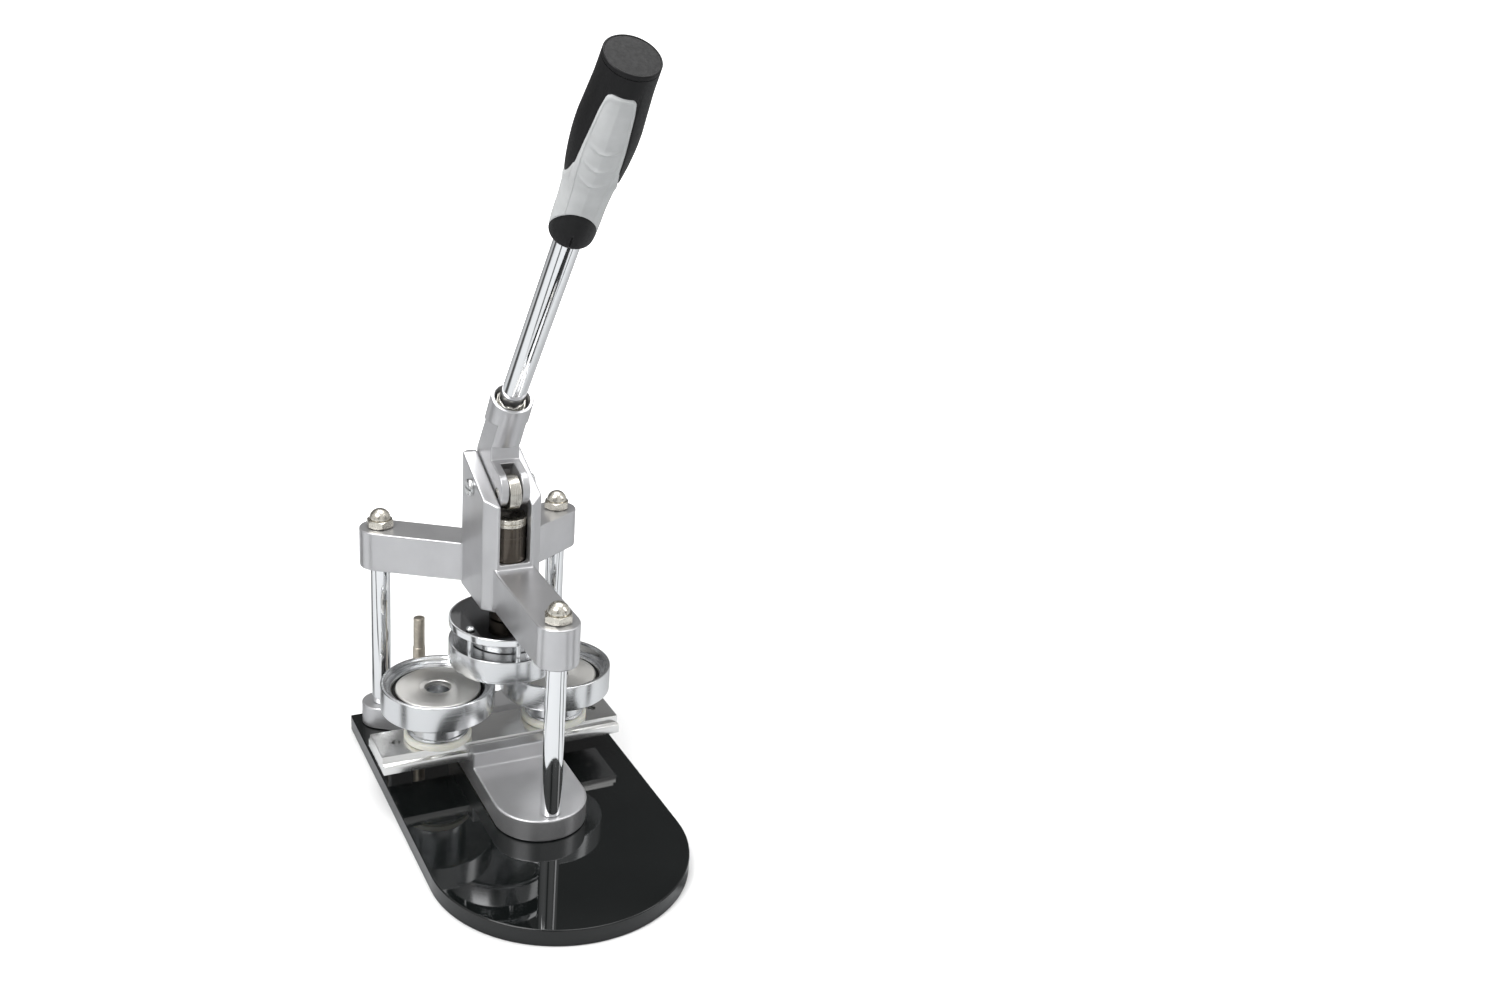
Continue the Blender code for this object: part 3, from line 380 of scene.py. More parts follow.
def flange_material():
    """Bright rim round a dark, mirror-smooth top."""
    s = turned_material("flange_chrome", (0.82, 0.83, 0.84), 0.10, 0.8, 0.001, "Z", 0.02)
    inner = s.span(s.radius("Z"), 0.0, 1.0, FLANGE_RIM[0] * MM, FLANGE_RIM[1] * MM)
    mix = s.tree.nodes.new("ShaderNodeMix")
    mix.data_type = "RGBA"
    mix.inputs["A"].default_value = (0.13, 0.13, 0.13, 1.0)
    s.link(s.main.inputs["Base Color"].links[0].from_socket, mix.inputs["B"])
    s.link(inner, mix.inputs["Factor"])
    s.link(mix.outputs["Result"], s.main.inputs["Base Color"])
    return s.mat

def aluminium_material():
    """Milled and polished plate, with marks along its length."""
    s = Shader("plate_aluminium", (0.84, 0.84, 0.83), 0.22, 1.0)
    marks = s.noise(0.35, 3.0, 0.5, (60.0, 1.0, 1.0))
    s.tint(s.noise(12.0, 4.0), (0.82, 0.82, 0.81), (0.86, 0.86, 0.85))
    s.roughness(marks, 0.20, 0.27)
    s.bump(marks, 0.0006, 0.4)
    return s.mat

def nylon_material():
    """Ivory nylon that lets a little light in."""
    s = Shader("nylon_ivory", (0.86, 0.85, 0.76), 0.36, Subsurface_Weight=0.35, Subsurface_Scale=0.003)
    s.main.inputs["Subsurface Radius"].default_value = (1.0, 0.85, 0.6)
    s.tint(s.noise(9.0, 3.0), (0.83, 0.82, 0.73), (0.90, 0.89, 0.81))
    s.roughness(s.noise(2.0, 4.0), 0.30, 0.46)
    s.bump(s.rings(0.5), 0.01, 0.5)
    return s.mat

def nickel_material(name, color, rough):
    """Warm nickel plate with small stains."""
    s = Shader(name, color, rough, 1.0)
    darker = tuple(c * 0.86 for c in color)
    lighter = tuple(min(c * 1.1, 1.0) for c in color)
    s.tint(s.noise(3.0, 5.0, 0.6), darker, lighter)
    s.roughness(s.noise(1.0, 4.0, 0.6), rough * 0.7, rough * 1.5)
    s.bump(s.noise(0.6, 3.0), 0.01, 0.6)
    return s.mat

def rubber_material(name, color, rough, grain, sheen):
    """Moulded soft rubber with a fine pebbled skin."""
    s = Shader(name, color, rough, Specular_IOR_Level=0.22, Sheen_Weight=sheen, Sheen_Roughness=0.5)
    darker = tuple(c * 0.95 for c in color)
    lighter = tuple(c * 1.05 for c in color)
    s.tint(s.noise(9.0, 3.0), darker, lighter)
    s.roughness(s.noise(1.6, 4.0, 0.6), rough - 0.08, rough + 0.10)
    s.bump(s.noise(grain, 2.0, 0.6), 0.03, 0.8)
    return s.mat

MATERIALS = {
    "board_gloss_black": board_material(),
    "casting_silver": casting_material(),
    "column_chrome": chrome_material("column_chrome", (0.86, 0.87, 0.88), 0.05),
    "die_chrome": turned_material("die_chrome", (0.72, 0.73, 0.74), 0.20, 0.8, 0.001, mixed=0.02).mat,
    "flange_chrome": flange_material(),
    "die_face_steel": face_material(),
    "nylon_ivory": nylon_material(),
    "plate_aluminium": aluminium_material(),
    "nut_nickel": nickel_material("nut_nickel", (0.70, 0.67, 0.60), 0.22),
    "post_nickel": nickel_material("post_nickel", (0.56, 0.51, 0.43), 0.34),
    "ram_dark_steel": turned_material(
        "ram_dark_steel", (0.11, 0.095, 0.08), 0.22, 3.0, 0.0005, mixed=0.01
    ).mat,
    # Near-black ring in the lower die's open gap: painted shade.
    "painted_gap_shade": rubber_material("painted_gap_shade", (0.006, 0.006, 0.006), 0.6, 0.5, 0.0),
    "bearing_steel": turned_material("bearing_steel", (0.60, 0.58, 0.53), 0.24, 0.5, 0.001, "X").mat,
    "screw_zinc": nickel_material("screw_zinc", (0.78, 0.79, 0.79), 0.22),
    "grip_black": rubber_material("grip_black", (0.006, 0.006, 0.0065), 0.45, 0.5, 0.01),
    "grip_grey": rubber_material("grip_grey", (0.56, 0.57, 0.57), 0.50, 0.6, 0.1),
}

# ---- geometry helpers

def rounded(points, steps=5):
    """Turns (x, y) or (x, y, fillet) corners of a closed outline into a finer outline."""
    result = []
    count = len(points)
    for i, point in enumerate(points):
        here = Vector(point[:2])
        radius = point[2] if len(point) > 2 else 0.0
        before = Vector(points[i - 1][:2])
        after = Vector(points[(i + 1) % count][:2])
        if radius == 0.0:
            result.append((here.x, here.y))
            continue
        back = (before - here).normalized()
        ahead = (after - here).normalized()
        turn = math.acos(max(-1.0, min(1.0, back.dot(ahead))))
        reach = radius / math.tan(turn / 2.0)
        start = here + back * reach
        end = here + ahead * reach
        for k in range(steps + 1):
            t = k / steps
            curve = start * (1 - t) ** 2 + here * 2 * t * (1 - t) + end * t**2
            result.append((curve.x, curve.y))
    return result

def arc(cx, cy, radius, start, end, steps):
    """Points on an arc, angles in degrees."""
    angles = [math.radians(start + (end - start) * i / steps) for i in range(steps + 1)]
    return [(cx + radius * math.cos(a), cy + radius * math.sin(a)) for a in angles]

def lathe(profile, segments=ROUND):
    """Revolves a closed (radius, height) outline about Z; radius 0 becomes a single point."""
    bm = bmesh.new()
    rings = []
    for radius, height in profile:
        if radius <= 1e-6:
            rings.append([bm.verts.new((0.0, 0.0, height))])
            continue
        angles = [2.0 * math.pi * i / segments for i in range(segments)]
        spots = [(radius * math.cos(a), radius * math.sin(a), height) for a in angles]
        rings.append([bm.verts.new(spot) for spot in spots])
    for k, ring in enumerate(rings):
        after = rings[(k + 1) % len(rings)]
        if len(ring) == 1 and len(after) == 1:
            continue
        for i in range(segments):
            j = (i + 1) % segments
            corners = [ring[i % len(ring)], ring[j % len(ring)]]
            corners += [after[j % len(after)], after[i % len(after)]]
            bm.faces.new(list(dict.fromkeys(corners)))
    return bm

def prism(outline, low, high, matrix=None):
    """Extrudes a closed outline along Z."""
    bm = bmesh.new()
    bottom = [bm.verts.new((p[0], p[1], low)) for p in outline]
    top = [bm.verts.new((p[0], p[1], high)) for p in outline]
    bm.faces.new(bottom[::-1])
    bm.faces.new(top)
    for i in range(len(outline)):
        j = (i + 1) % len(outline)
        bm.faces.new((bottom[i], bottom[j], top[j], top[i]))
    if matrix is not None:
        bmesh.ops.transform(bm, matrix=matrix, verts=bm.verts[:])
    return bm

def block(x0, x1, y0, y1, z0, z1):
    """A box between the given limits."""
    return prism([(x0, y0), (x1, y0), (x1, y1), (x0, y1)], z0, z1)

def rod(radius, low, high, matrix=None, segments=64):
    """A cylinder along Z."""
    bm = lathe([(0.0, low), (radius, low), (radius, high), (0.0, high)], segments)
    if matrix is not None:
        bmesh.ops.transform(bm, matrix=matrix, verts=bm.verts[:])
    return bm

def side_view():
    """Maps an outline (y, z) extruded along Z onto the world, so that it runs along X."""
    return Matrix(((0, 0, 1, 0), (1, 0, 0, 0), (0, 1, 0, 0), (0, 0, 0, 1)))

def lean(point, tilt):
    """A frame at point whose Z axis leans towards -Y."""
    return Matrix.Translation(point) @ Matrix.Rotation(math.radians(tilt), 4, "X")

def along_x(point):
    """A frame at point whose Z axis runs along +X."""
    return Matrix.Translation(point) @ Matrix.Rotation(math.radians(90.0), 4, "Y")

def finish_mesh(name, bm, mat, matrix=None, angle=30.0):
    """Makes an object from geometry in millimetres, placed by matrix, shaded smooth."""
    bmesh.ops.recalc_face_normals(bm, faces=bm.faces[:])
    bmesh.ops.transform(bm, matrix=Matrix.Scale(MM, 4), verts=bm.verts[:])
    mesh = bpy.data.meshes.new(name)
    bm.to_mesh(mesh)
    bm.free()
    obj = bpy.data.objects.new(name, mesh)
    bpy.context.scene.collection.objects.link(obj)
    if matrix is not None:
        shift = matrix.copy()
        shift.translation = matrix.translation * MM
        obj.matrix_world = shift
    if mat is not None:
        mesh.materials.append(MATERIALS[mat])
    shade(obj, angle)
    return obj

def shade(obj, angle):
    """Shades a mesh smooth, apart from edges sharper than angle."""
    obj.data.shade_smooth()
    obj.data.set_sharp_from_angle(angle=math.radians(angle))

def attach(obj, body, slot, *nodes):
    """Says which body a piece rides on and which CAD nodes it stands for; slot is not used."""
    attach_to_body(obj, body)
    if nodes:
        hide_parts(*nodes)
    return obj

def apply_modifiers(obj):
    """Bakes an object's modifiers into its mesh."""
    bpy.context.view_layer.update()
    graph = bpy.context.evaluated_depsgraph_get()
    mesh = bpy.data.meshes.new_from_object(obj.evaluated_get(graph))
    old = obj.data
    obj.modifiers.clear()
    obj.data = mesh
    bpy.data.meshes.remove(old)
    return obj

def combine(obj, operation, tools):
    """Applies Boolean steps with throw-away tool meshes, all in millimetres."""
    helpers = []
    for index, bm in enumerate(tools):
        helper = finish_mesh("tool_%d" % index, bm, None)
        step = obj.modifiers.new("step_%d" % index, "BOOLEAN")
        step.operation = operation
        step.solver = "EXACT"
        step.object = helper
        helpers.append(helper)
    apply_modifiers(obj)
    for helper in helpers:
        bpy.data.objects.remove(helper)
    return obj

def cast(obj, voxel, smooth, keep):
    """Melts a mesh's edges and inside corners into cast radii."""
    remesh = obj.modifiers.new("voxels", "REMESH")
    remesh.mode = "VOXEL"
    remesh.voxel_size = voxel * MM
    remesh.use_smooth_shade = True
    soften = obj.modifiers.new("soften", "SMOOTH")
    soften.factor = 0.5
    soften.iterations = smooth
    thin = obj.modifiers.new("thin", "DECIMATE")
    thin.ratio = keep
    apply_modifiers(obj)
    obj.data.shade_smooth()
    return obj

def bevel(obj, width, segments=3, angle=30.0):
    """Rounds the edges of a plain shape."""
    step = obj.modifiers.new("edges", "BEVEL")
    step.width = width * MM
    step.segments = segments
    step.limit_method = "ANGLE"
    step.angle_limit = math.radians(angle)
    step.harden_normals = True
    return apply_modifiers(obj)

def turned(name, profile, mat, body, nodes, centre=(0.0, 0.0), segments=ROUND):
    """A piece turned about a vertical axis, with its origin on that axis."""
    place = Matrix.Translation((centre[0], centre[1], 0.0))
    obj = finish_mesh(name, lathe(profile, segments), mat, place)
    return attach(obj, body, mat, *nodes)

# ---- fixed frame

def board():
    """The black board with a semicircular front."""
    n = Node("base_board")
    half = n.radius
    outline = arc(0.0, n.low.y + half, half, 180.0, 360.0, 96)
    outline += [(half, n.high.y), (-half, n.high.y)]
    obj = finish_mesh("board", prism(outline, n.z0, n.z1), "board_gloss_black")
    bevel(obj, 0.9, 3, 50.0)
    attach(obj, "base", "board_gloss_black", "base_board")

def arm_outline(x, y, half, inner):
    """Plan of an arm from the point inner to a round end at (x, y)."""
    end = Vector((x, y))
    start = Vector(inner)
    heading = math.degrees(math.atan2((end - start).y, (end - start).x))
    side = Vector((-(end - start).y, (end - start).x)).normalized() * half
    outline = [tuple(start - side)]
    outline += arc(x, y, half, heading - 90.0, heading + 90.0, 32)
    outline.append(tuple(start + side))
    return outline

def lower_casting():
    """Front plinth, channel block, two rear arms with bosses."""
    n = Node("base_casting")
    plate = Node("slide_plate")
    rear = Node("column_rear_right")
    low = n.z0
    top = n.z1 - RAIL_RISE
    outline = arc(0.0, n.low.y + PLINTH_HALF, PLINTH_HALF, 180.0, 360.0, 64)
    outline += [(PLINTH_HALF, PLINTH_BACK), (-PLINTH_HALF, PLINTH_BACK)]
    obj = finish_mesh("lower_casting", prism(outline, low, top), "casting_silver")
    tools = [block(-PLINTH_HALF, PLINTH_HALF, -RAIL_BACK, RAIL_BACK, low + 2.0, n.z1)]
    for sign in (-1.0, 1.0):
        x = rear.mid.x * sign
        tools.append(prism(arm_outline(x, rear.mid.y, BOSS_R, ARM_JOIN), low, top))
        tools.append(rod(BOSS_R, low, top + BOSS_RISE, Matrix.Translation((x, rear.mid.y, 0.0))))
    combine(obj, "UNION", tools)
    floor_z = plate.z0 - CHANNEL_GAP
    roof_z = plate.z0 + CHANNEL_DEPTH
    channel = block(-60.0, 60.0, -CHANNEL_HALF, CHANNEL_HALF, floor_z, roof_z)
    mouth = block(-61.0, 61.0, -MOUTH_HALF, MOUTH_HALF, plate.z0 + 1.0, n.z1 + BEYOND)
    combine(obj, "DIFFERENCE", [channel, mouth])
    cast(obj, *CAST_COARSE)
    attach(obj, "base", "casting_silver", "base_casting")

def columns():
    """Three chrome columns with a thinner stud at each end."""
    for tag, foot in (("front", 28.3), ("rear_left", 29.3), ("rear_right", 29.3)):
        n = Node("column_" + tag)
        r = n.radius
        head = ARM_LOW - 0.3
        profile = rounded([
            (0.0, n.z0), (STUD_R, n.z0), (STUD_R, foot), (r, foot, 0.6), (r, head, 0.5),
            (STUD_R, head), (STUD_R, n.z1), (0.0, n.z1),
        ])
        turned("column_" + tag + "_bar", profile, "column_chrome", "base", ["column_" + tag], n.mid)

def nut_trim(low):
    """Outline that rounds the corners of a nut's hexagon."""
    return rounded([
        (0.0, low + 0.5), (8.6, low + 0.5), (NUT_CORNER_R, low + 1.4), (NUT_CORNER_R, low + 4.6),
        (8.4, low + 5.8), (0.0, low + 5.8),
    ])

def nut_dome(low):
    """Outline of a nut's washer face, neck and domed cap."""
    washer = NUT_WASHER_R
    neck = NUT_NECK_R
    dome = [(0.0, low), (washer - 0.2, low), (washer, low + 0.3), (washer, low + 0.9)]
    dome += [(neck, low + 1.0), (neck, low + 6.3)]
    for degrees in range(0, 85, 6):
        angle = math.radians(degrees)
        dome.append((NUT_DOME_R * math.cos(angle), low + 6.6 + NUT_DOME_RISE * math.sin(angle)))
    dome.append((0.0, low + NUT_HEIGHT))
    return dome

def cap_nuts():
    """Domed nickel nuts: washer face, hexagon and dome."""
    for tag, turn in (("front", 12.0), ("rear_left", 25.0), ("rear_right", 5.0)):
        name = "cap_nut_" + tag
        n = Node(name)
        low = n.z0
        hexagon = arc(0.0, 0.0, NUT_FLATS / math.sqrt(3.0), turn, turn + 300.0, 5)
        obj = finish_mesh(name + "_piece", prism(hexagon, low + 0.5, low + 5.8), "nut_nickel")
        combine(obj, "INTERSECT", [lathe(nut_trim(low), 96)])
        combine(obj, "UNION", [lathe(nut_dome(low), 96)])
        obj.matrix_world = Matrix.Translation((n.mid.x * MM, n.mid.y * MM, 0.0))
        shade(obj, 25.0)
        attach(obj, "base", "nut_nickel", name)

def tower_outline():
    """Plan of the tower, with chamfered corners."""
    half = TOWER_HALF
    cut = TOWER_CUT
    rear = TOWER_REAR_CUT
    return [
        (-half, TOWER_FRONT + cut), (-half + cut, TOWER_FRONT), (half - cut, TOWER_FRONT),
        (half, TOWER_FRONT + cut), (half, TOWER_BACK - rear), (half - rear, TOWER_BACK),
        (-half + rear, TOWER_BACK), (-half, TOWER_BACK - rear),
    ]

def upper_casting():
    """The slotted tower and its three arms."""
    head = Node("head_casting")
    front = Node("column_front").mid
    rear = Node("column_rear_right").mid
    pivot = Node("pivot_bolt").mid
    low = head.z0
    top = head.z1
    obj = finish_mesh("upper_casting", prism(tower_outline(), low, top + 0.5), "casting_silver")
    arms = [prism(arm_outline(front.x, front.y, ARM_HALF, (0.0, 0.0)), ARM_LOW, ARM_TOP)]
    for sign in (-1.0, 1.0):
        arm = arm_outline(rear.x * sign, rear.y, ARM_HALF, ARM_JOIN)
        arms.append(prism(arm, ARM_LOW, ARM_TOP))
    combine(obj, "UNION", arms)
    back = TOWER_BACK + 10.0
    slope = [
        CHEEK_FRONT, (CHEEK_REAR_Y, top), (back, top), (back, top + 20.0), (CHEEK_FRONT[0], top + 20.0),
    ]
    front_y = TOWER_FRONT - BEYOND
    back_y = TOWER_BACK + BEYOND
    slot = [
        (front_y, SLOT_FLOOR), (SLOT_REAR_Y, SLOT_FLOOR), (SLOT_REAR_Y, SLOT_REAR_FLOOR),
        (back_y, SLOT_REAR_FLOOR), (back_y, top + BEYOND), (front_y, top + BEYOND),
    ]
    cuts = [
        prism(slope, -40.0, 40.0, side_view()),
        rod(RAM_BORE_R, low - BEYOND, RAM_BORE_TOP),
        prism(slot, -SLOT_HALF, SLOT_HALF, side_view()),
        rod(PIN_HOLE_R, -30.0, 30.0, along_x((0.0, pivot.y, pivot.z))),
    ]
    for x, y in ((front.x, front.y), (rear.x, rear.y), (-rear.x, rear.y)):
        spot = Matrix.Translation((x, y, 0.0))
        cuts.append(rod(STUD_HOLE_R, ARM_LOW - BEYOND, ARM_TOP + BEYOND, spot))
    combine(obj, "DIFFERENCE", cuts)
    cast(obj, *CAST_COARSE)
    attach(obj, "base", "casting_silver", "head_casting")

def pivot_screws():
    """Slotted pan heads at both ends of the pivot; the left one carries the pin."""
    n = Node("pivot_bolt")
    profile = [(0.0, SCREW_FACE), (SCREW_R, SCREW_FACE)]
    for a in quarter(7):
        radius = SCREW_R - 1.9 * (1.0 - math.cos(a))
        profile.append((radius, SCREW_FACE + SCREW_SIDE + SCREW_CROWN * math.sin(a)))
    profile.append((0.0, SCREW_FACE + 3.25))
    for name, sign in (("pivot_bolt", -1.0), ("pivot_cap", 1.0)):
        bm = lathe(profile, 72)
        bmesh.ops.transform(bm, matrix=Matrix.Rotation(math.radians(90.0 * sign), 4, "Y"), verts=bm.verts[:])
        obj = finish_mesh(name + "_head", bm, "screw_zinc")
        x = (SCREW_FACE + 3.0) * sign
        slot = block(x - 1.3, x + 1.3, -8.0, 8.0, -SCREW_SLOT_HALF, SCREW_SLOT_HALF)
        combine(obj, "DIFFERENCE", [slot])
        if sign < 0.0:
            pin = rod(PIVOT_R, -SCREW_FACE - 0.5, TOWER_HALF - 1.0, along_x((0.0, 0.0, 0.0)))
            combine(obj, "UNION", [pin])
        obj.matrix_world = Matrix.Translation(Vector((0.0, n.mid.y, n.mid.z)) * MM)
        shade(obj, 30.0)
        attach(obj, "base", "screw_zinc", name)

def quarter(steps):
    """Angles in radians from 0 to a quarter turn."""
    return [math.pi / 2.0 * i / steps for i in range(steps + 1)]

def post():
    """The stepped post behind the left die."""
    n = Node("rear_post")
    r = n.radius - 0.4
    profile = rounded([
        (0.0, n.z0), (r + 0.4, n.z0), (r + 0.4, 79.0, 0.3), (r, 79.6),
        (r, n.z1 - 0.6, 0.5), (r - 1.2, n.z1, 0.5), (0.0, n.z1),
    ])
    turned("rear_post_bar", profile, "post_nickel", "base", ["rear_post"], n.mid, 64)

# ---- lever

def hub_outline():
    """Side view (y, z) of the hub: ears round the roller, pivot eye, back edge and block."""
    pivot = Node("pivot_bolt").mid
    points = arc(*EAR_AT, EAR_R, 100.0, 262.0, 30)
    points += arc(pivot.y, pivot.z, EAR_R, 262.0, 345.0, 16)
    points += HUB_BACK
    points += HUB_FRONT
    return points

def hub():
    """The forked hub and its socket, whose foot is cut flat on both sides and in front."""
    pivot = Node("pivot_bolt").mid
    roller_at = Node("roller_ring").mid
    socket = lean(SOCKET_RIM, SOCKET_TILT)
    tube = lathe([
        (0.0, -SOCKET_LENGTH), (SOCKET_R - 1.5, -SOCKET_LENGTH), (SOCKET_R, -SOCKET_LENGTH + 2.0),
        (SOCKET_R, 0.0), (0.0, 0.0),
    ], 96)
    bmesh.ops.transform(tube, matrix=socket, verts=tube.verts[:])
    body = finish_mesh("hub", tube, "casting_silver")
    flats = [
        block(-20.0, -SOCKET_FLAT_HALF, -20.0, 60.0, 220.0, SOCKET_FLAT_TOP),
        block(SOCKET_FLAT_HALF, 20.0, -20.0, 60.0, 220.0, SOCKET_FLAT_TOP),
        block(-20.0, 20.0, -20.0, SHELF_Y, 220.0, SHELF_TOP),
    ]
    combine(body, "DIFFERENCE", flats)
    combine(body, "UNION", [prism(hub_outline(), -HUB_HALF, HUB_HALF, side_view())])
    cuts = [
        rod(SOCKET_BORE_R, -SOCKET_BORE_DEPTH, BEYOND, socket, 96),
        rod(GRIP_BORE_R, -ROD_BELOW - 3.0, 10.0, lean(ROD_POINT, ROD_TILT)),
        prism(EAR_SLOT, -EAR_SLOT_HALF, EAR_SLOT_HALF, side_view()),
        rod(PIN_HOLE_R, -20.0, 20.0, along_x((0.0, pivot.y, pivot.z))),
        rod(ROLLER_PIN_R + 0.2, -20.0, 20.0, along_x(roller_at)),
    ]
    combine(body, "DIFFERENCE", cuts)
    cast(body, *CAST_FINE)
    attach(body, "lever", "casting_silver", "lever_hub")

def ring_profile(inner, outer, half, inner_edge, outer_edge):
    """Section of a plain ring, given its radii, half width and edge fillets."""
    return rounded([
        (inner, -half, inner_edge), (outer, -half, outer_edge),
        (outer, half, outer_edge), (inner, half, inner_edge),
    ])

def roller():
    """The ball bearing that rolls on the ram's cap, with its pin."""
    at = Node("roller_ring").mid
    outer = ring_profile(8.0, ROLLER_R, ROLLER_HALF, 0.3, 0.7)
    inner = ring_profile(3.7, 5.8, ROLLER_HALF, 0.3, 0.3)
    shield = ring_profile(5.9, 7.9, 3.2, 0.0, 0.0)
    pin = ring_profile(0.0, ROLLER_PIN_R, HUB_HALF - 0.1, 0.0, 0.5)
    parts = (
        ("roller_ring_piece", outer, "roller", ["roller_ring"], FINE),
        ("roller_race_piece", inner, "lever", ["roller_race"], 96),
        ("roller_shield", shield, "lever", [], 96),
        ("roller_pin_piece", pin, "lever", ["roller_pin"], 64),
    )
    for name, profile, body, nodes, segments in parts:
        bm = lathe(profile, segments)
        bmesh.ops.transform(bm, matrix=Matrix.Rotation(math.radians(90.0), 4, "Y"), verts=bm.verts[:])
        obj = finish_mesh(name, bm, "bearing_steel", Matrix.Translation(at))
        attach(obj, body, "bearing_steel", *nodes)

def lever_rod():
    """The chrome rod and the lock ring in the socket."""
    axis = lean(ROD_POINT, ROD_TILT)
    socket = lean(SOCKET_RIM, SOCKET_TILT)
    top = GRIP_START + GRIP_LENGTH - 8.0
    profile = rounded([(0.0, -ROD_BELOW), (ROD_R, -ROD_BELOW, 0.5), (ROD_R, top, 0.8), (0.0, top)])
    obj = finish_mesh("lever_rod_bar", lathe(profile, ROUND), "column_chrome", axis)
    attach(obj, "lever", "column_chrome", "lever_rod")
    low = LOCK_RING_LOW
    high = LOCK_RING_HIGH
    r = LOCK_RING_R
    hexagon = arc(0.0, 0.0, r, 8.0, 308.0, 5)
    ring = finish_mesh("lock_ring_piece", prism(hexagon, low, high, socket), "bearing_steel")
    shoulder = (r, LOCK_RING_SHOULDER)
    trim = lathe([(0.0, low), (r, low), shoulder, (LOCK_RING_TOP_R, high), (0.0, high)], 96)
    bmesh.ops.transform(trim, matrix=socket, verts=trim.verts[:])
    combine(ring, "INTERSECT", [trim])
    combine(ring, "DIFFERENCE", [rod(GRIP_BORE_R, -30.0, 10.0, axis)])
    attach(ring, "lever", "bearing_steel", "lock_ring")

# ---- grip

def between(table, x):
    """Reads a table of (x, value) pairs along a smooth curve through its entries."""
    last = len(table) - 1
    for k in range(last):
        x0, y0 = table[k]
        x1, y1 = table[k + 1]
        if x <= x1:
            before = table[max(k - 1, 0)]
            after = table[min(k + 2, last)]
            width = x1 - x0
            t = (x - x0) / width
            slope0 = (y1 - before[1]) / (x1 - before[0]) * width
            slope1 = (after[1] - y0) / (after[0] - x0) * width
            rise = y0 + (y1 - y0) * t * t * (3.0 - 2.0 * t)
            return rise + t * (1.0 - t) ** 2 * slope0 - t * t * (1.0 - t) * slope1
    return table[last][1]

def tongue_edge(angle):
    """Height of the border between the grey rubber and the black above it."""
    return between(TONGUE_EDGE, abs(angle)) * GRIP_LENGTH

def collar_edge(angle):
    """Height of the border between the black collar and the grey rubber."""
    front = max(0.0, math.cos(math.radians(angle)))
    return (COLLAR_SIDE + COLLAR_RISE * front) * GRIP_LENGTH

def normal_gap(edge, angle, height):
    """Distance from a point of the grip to a border, measured square to the border."""
    step = 1.0
    turn = min(max(abs(angle), step), 180.0 - step)
    slope = (edge(turn + step) - edge(turn - step)) / (math.radians(2.0 * step) * GRIP_MEAN_R)
    return (height - edge(angle)) / math.hypot(1.0, slope)

def grip_relief(angle, height):
    """Ribs, seam, slit and border grooves of the grip, in millimetres."""
    share = height / GRIP_LENGTH
    relief = -0.45 * bell(normal_gap(tongue_edge, angle, height), 0.7)
    relief -= 0.35 * bell(normal_gap(collar_edge, angle, height), 0.5)
    if height < collar_edge(angle):
        if share < COLLAR_SLIT_TOP:
            relief -= 0.9 * bell(angle, 2.2)
        return relief
    if normal_gap(tongue_edge, angle, height) > 0.0:
        return relief
    relief += 0.4 * bell(normal_gap(tongue_edge, angle, height) + 2.2, 1.6)
    if abs(angle) < RIB_SPREAD:
        fade = math.cos(math.radians(angle * 2.6))
        sag = 4.0 * (angle / 30.0) ** 2
        for rib in RIBS:
            away = height - rib * GRIP_LENGTH - sag
            relief += 1.1 * fade * bell(away, 1.1)
            relief -= 0.6 * fade * bell(away + 3.2, 2.2)
    if share < SEAM_TOP:
        relief += 0.18 * bell(angle, 4.0)
    return relief

def bell(x, width):
    """A smooth bump of height 1 at x = 0."""
    return math.exp(-((x / width) ** 2))

def grip_angles():
    """Angles of the grip's columns, close together beside the tongue's edge."""
    half = [i * 1.5 for i in range(12)]
    half += [18.0 + i * 0.8 for i in range(40)]
    half += [50.0 + i * 2.5 for i in range(16)]
    half += [90.0 + i * 6.0 for i in range(15)]
    return [-a for a in half[:0:-1]] + half + [180.0]

def sleeve(name, low_edge, high_edge, rows, mat):
    """A tube on the rod between two borders that change with the angle."""
    bm = bmesh.new()
    columns = []
    for angle in grip_angles():
        low = low_edge(angle)
        high = high_edge(angle)
        turn = math.radians(angle + TONGUE_TURN)
        outline = [(GRIP_BORE_R, low)]
        for k in range(rows + 1):
            t = k / rows
            height = low + (high - low) * (0.6 * t + 0.4 * t * t * (3.0 - 2.0 * t))
            if low == 0.0:
                height = high * t**1.6
            radius = between(GRIP_PROFILE, height / GRIP_LENGTH) + grip_relief(angle, height)
            outline.append((radius, height))
        outline.append((GRIP_BORE_R, high))
        points = [(r * math.cos(turn), r * math.sin(turn), GRIP_START + h) for r, h in outline]
        columns.append([bm.verts.new(point) for point in points])
    for i, here in enumerate(columns):
        after = columns[(i + 1) % len(columns)]
        for k in range(len(here)):
            m = (k + 1) % len(here)
            bm.faces.new((here[k], after[k], after[m], here[m]))
    return finish_mesh(name, bm, mat, lean(ROD_POINT, ROD_TILT), 50.0)

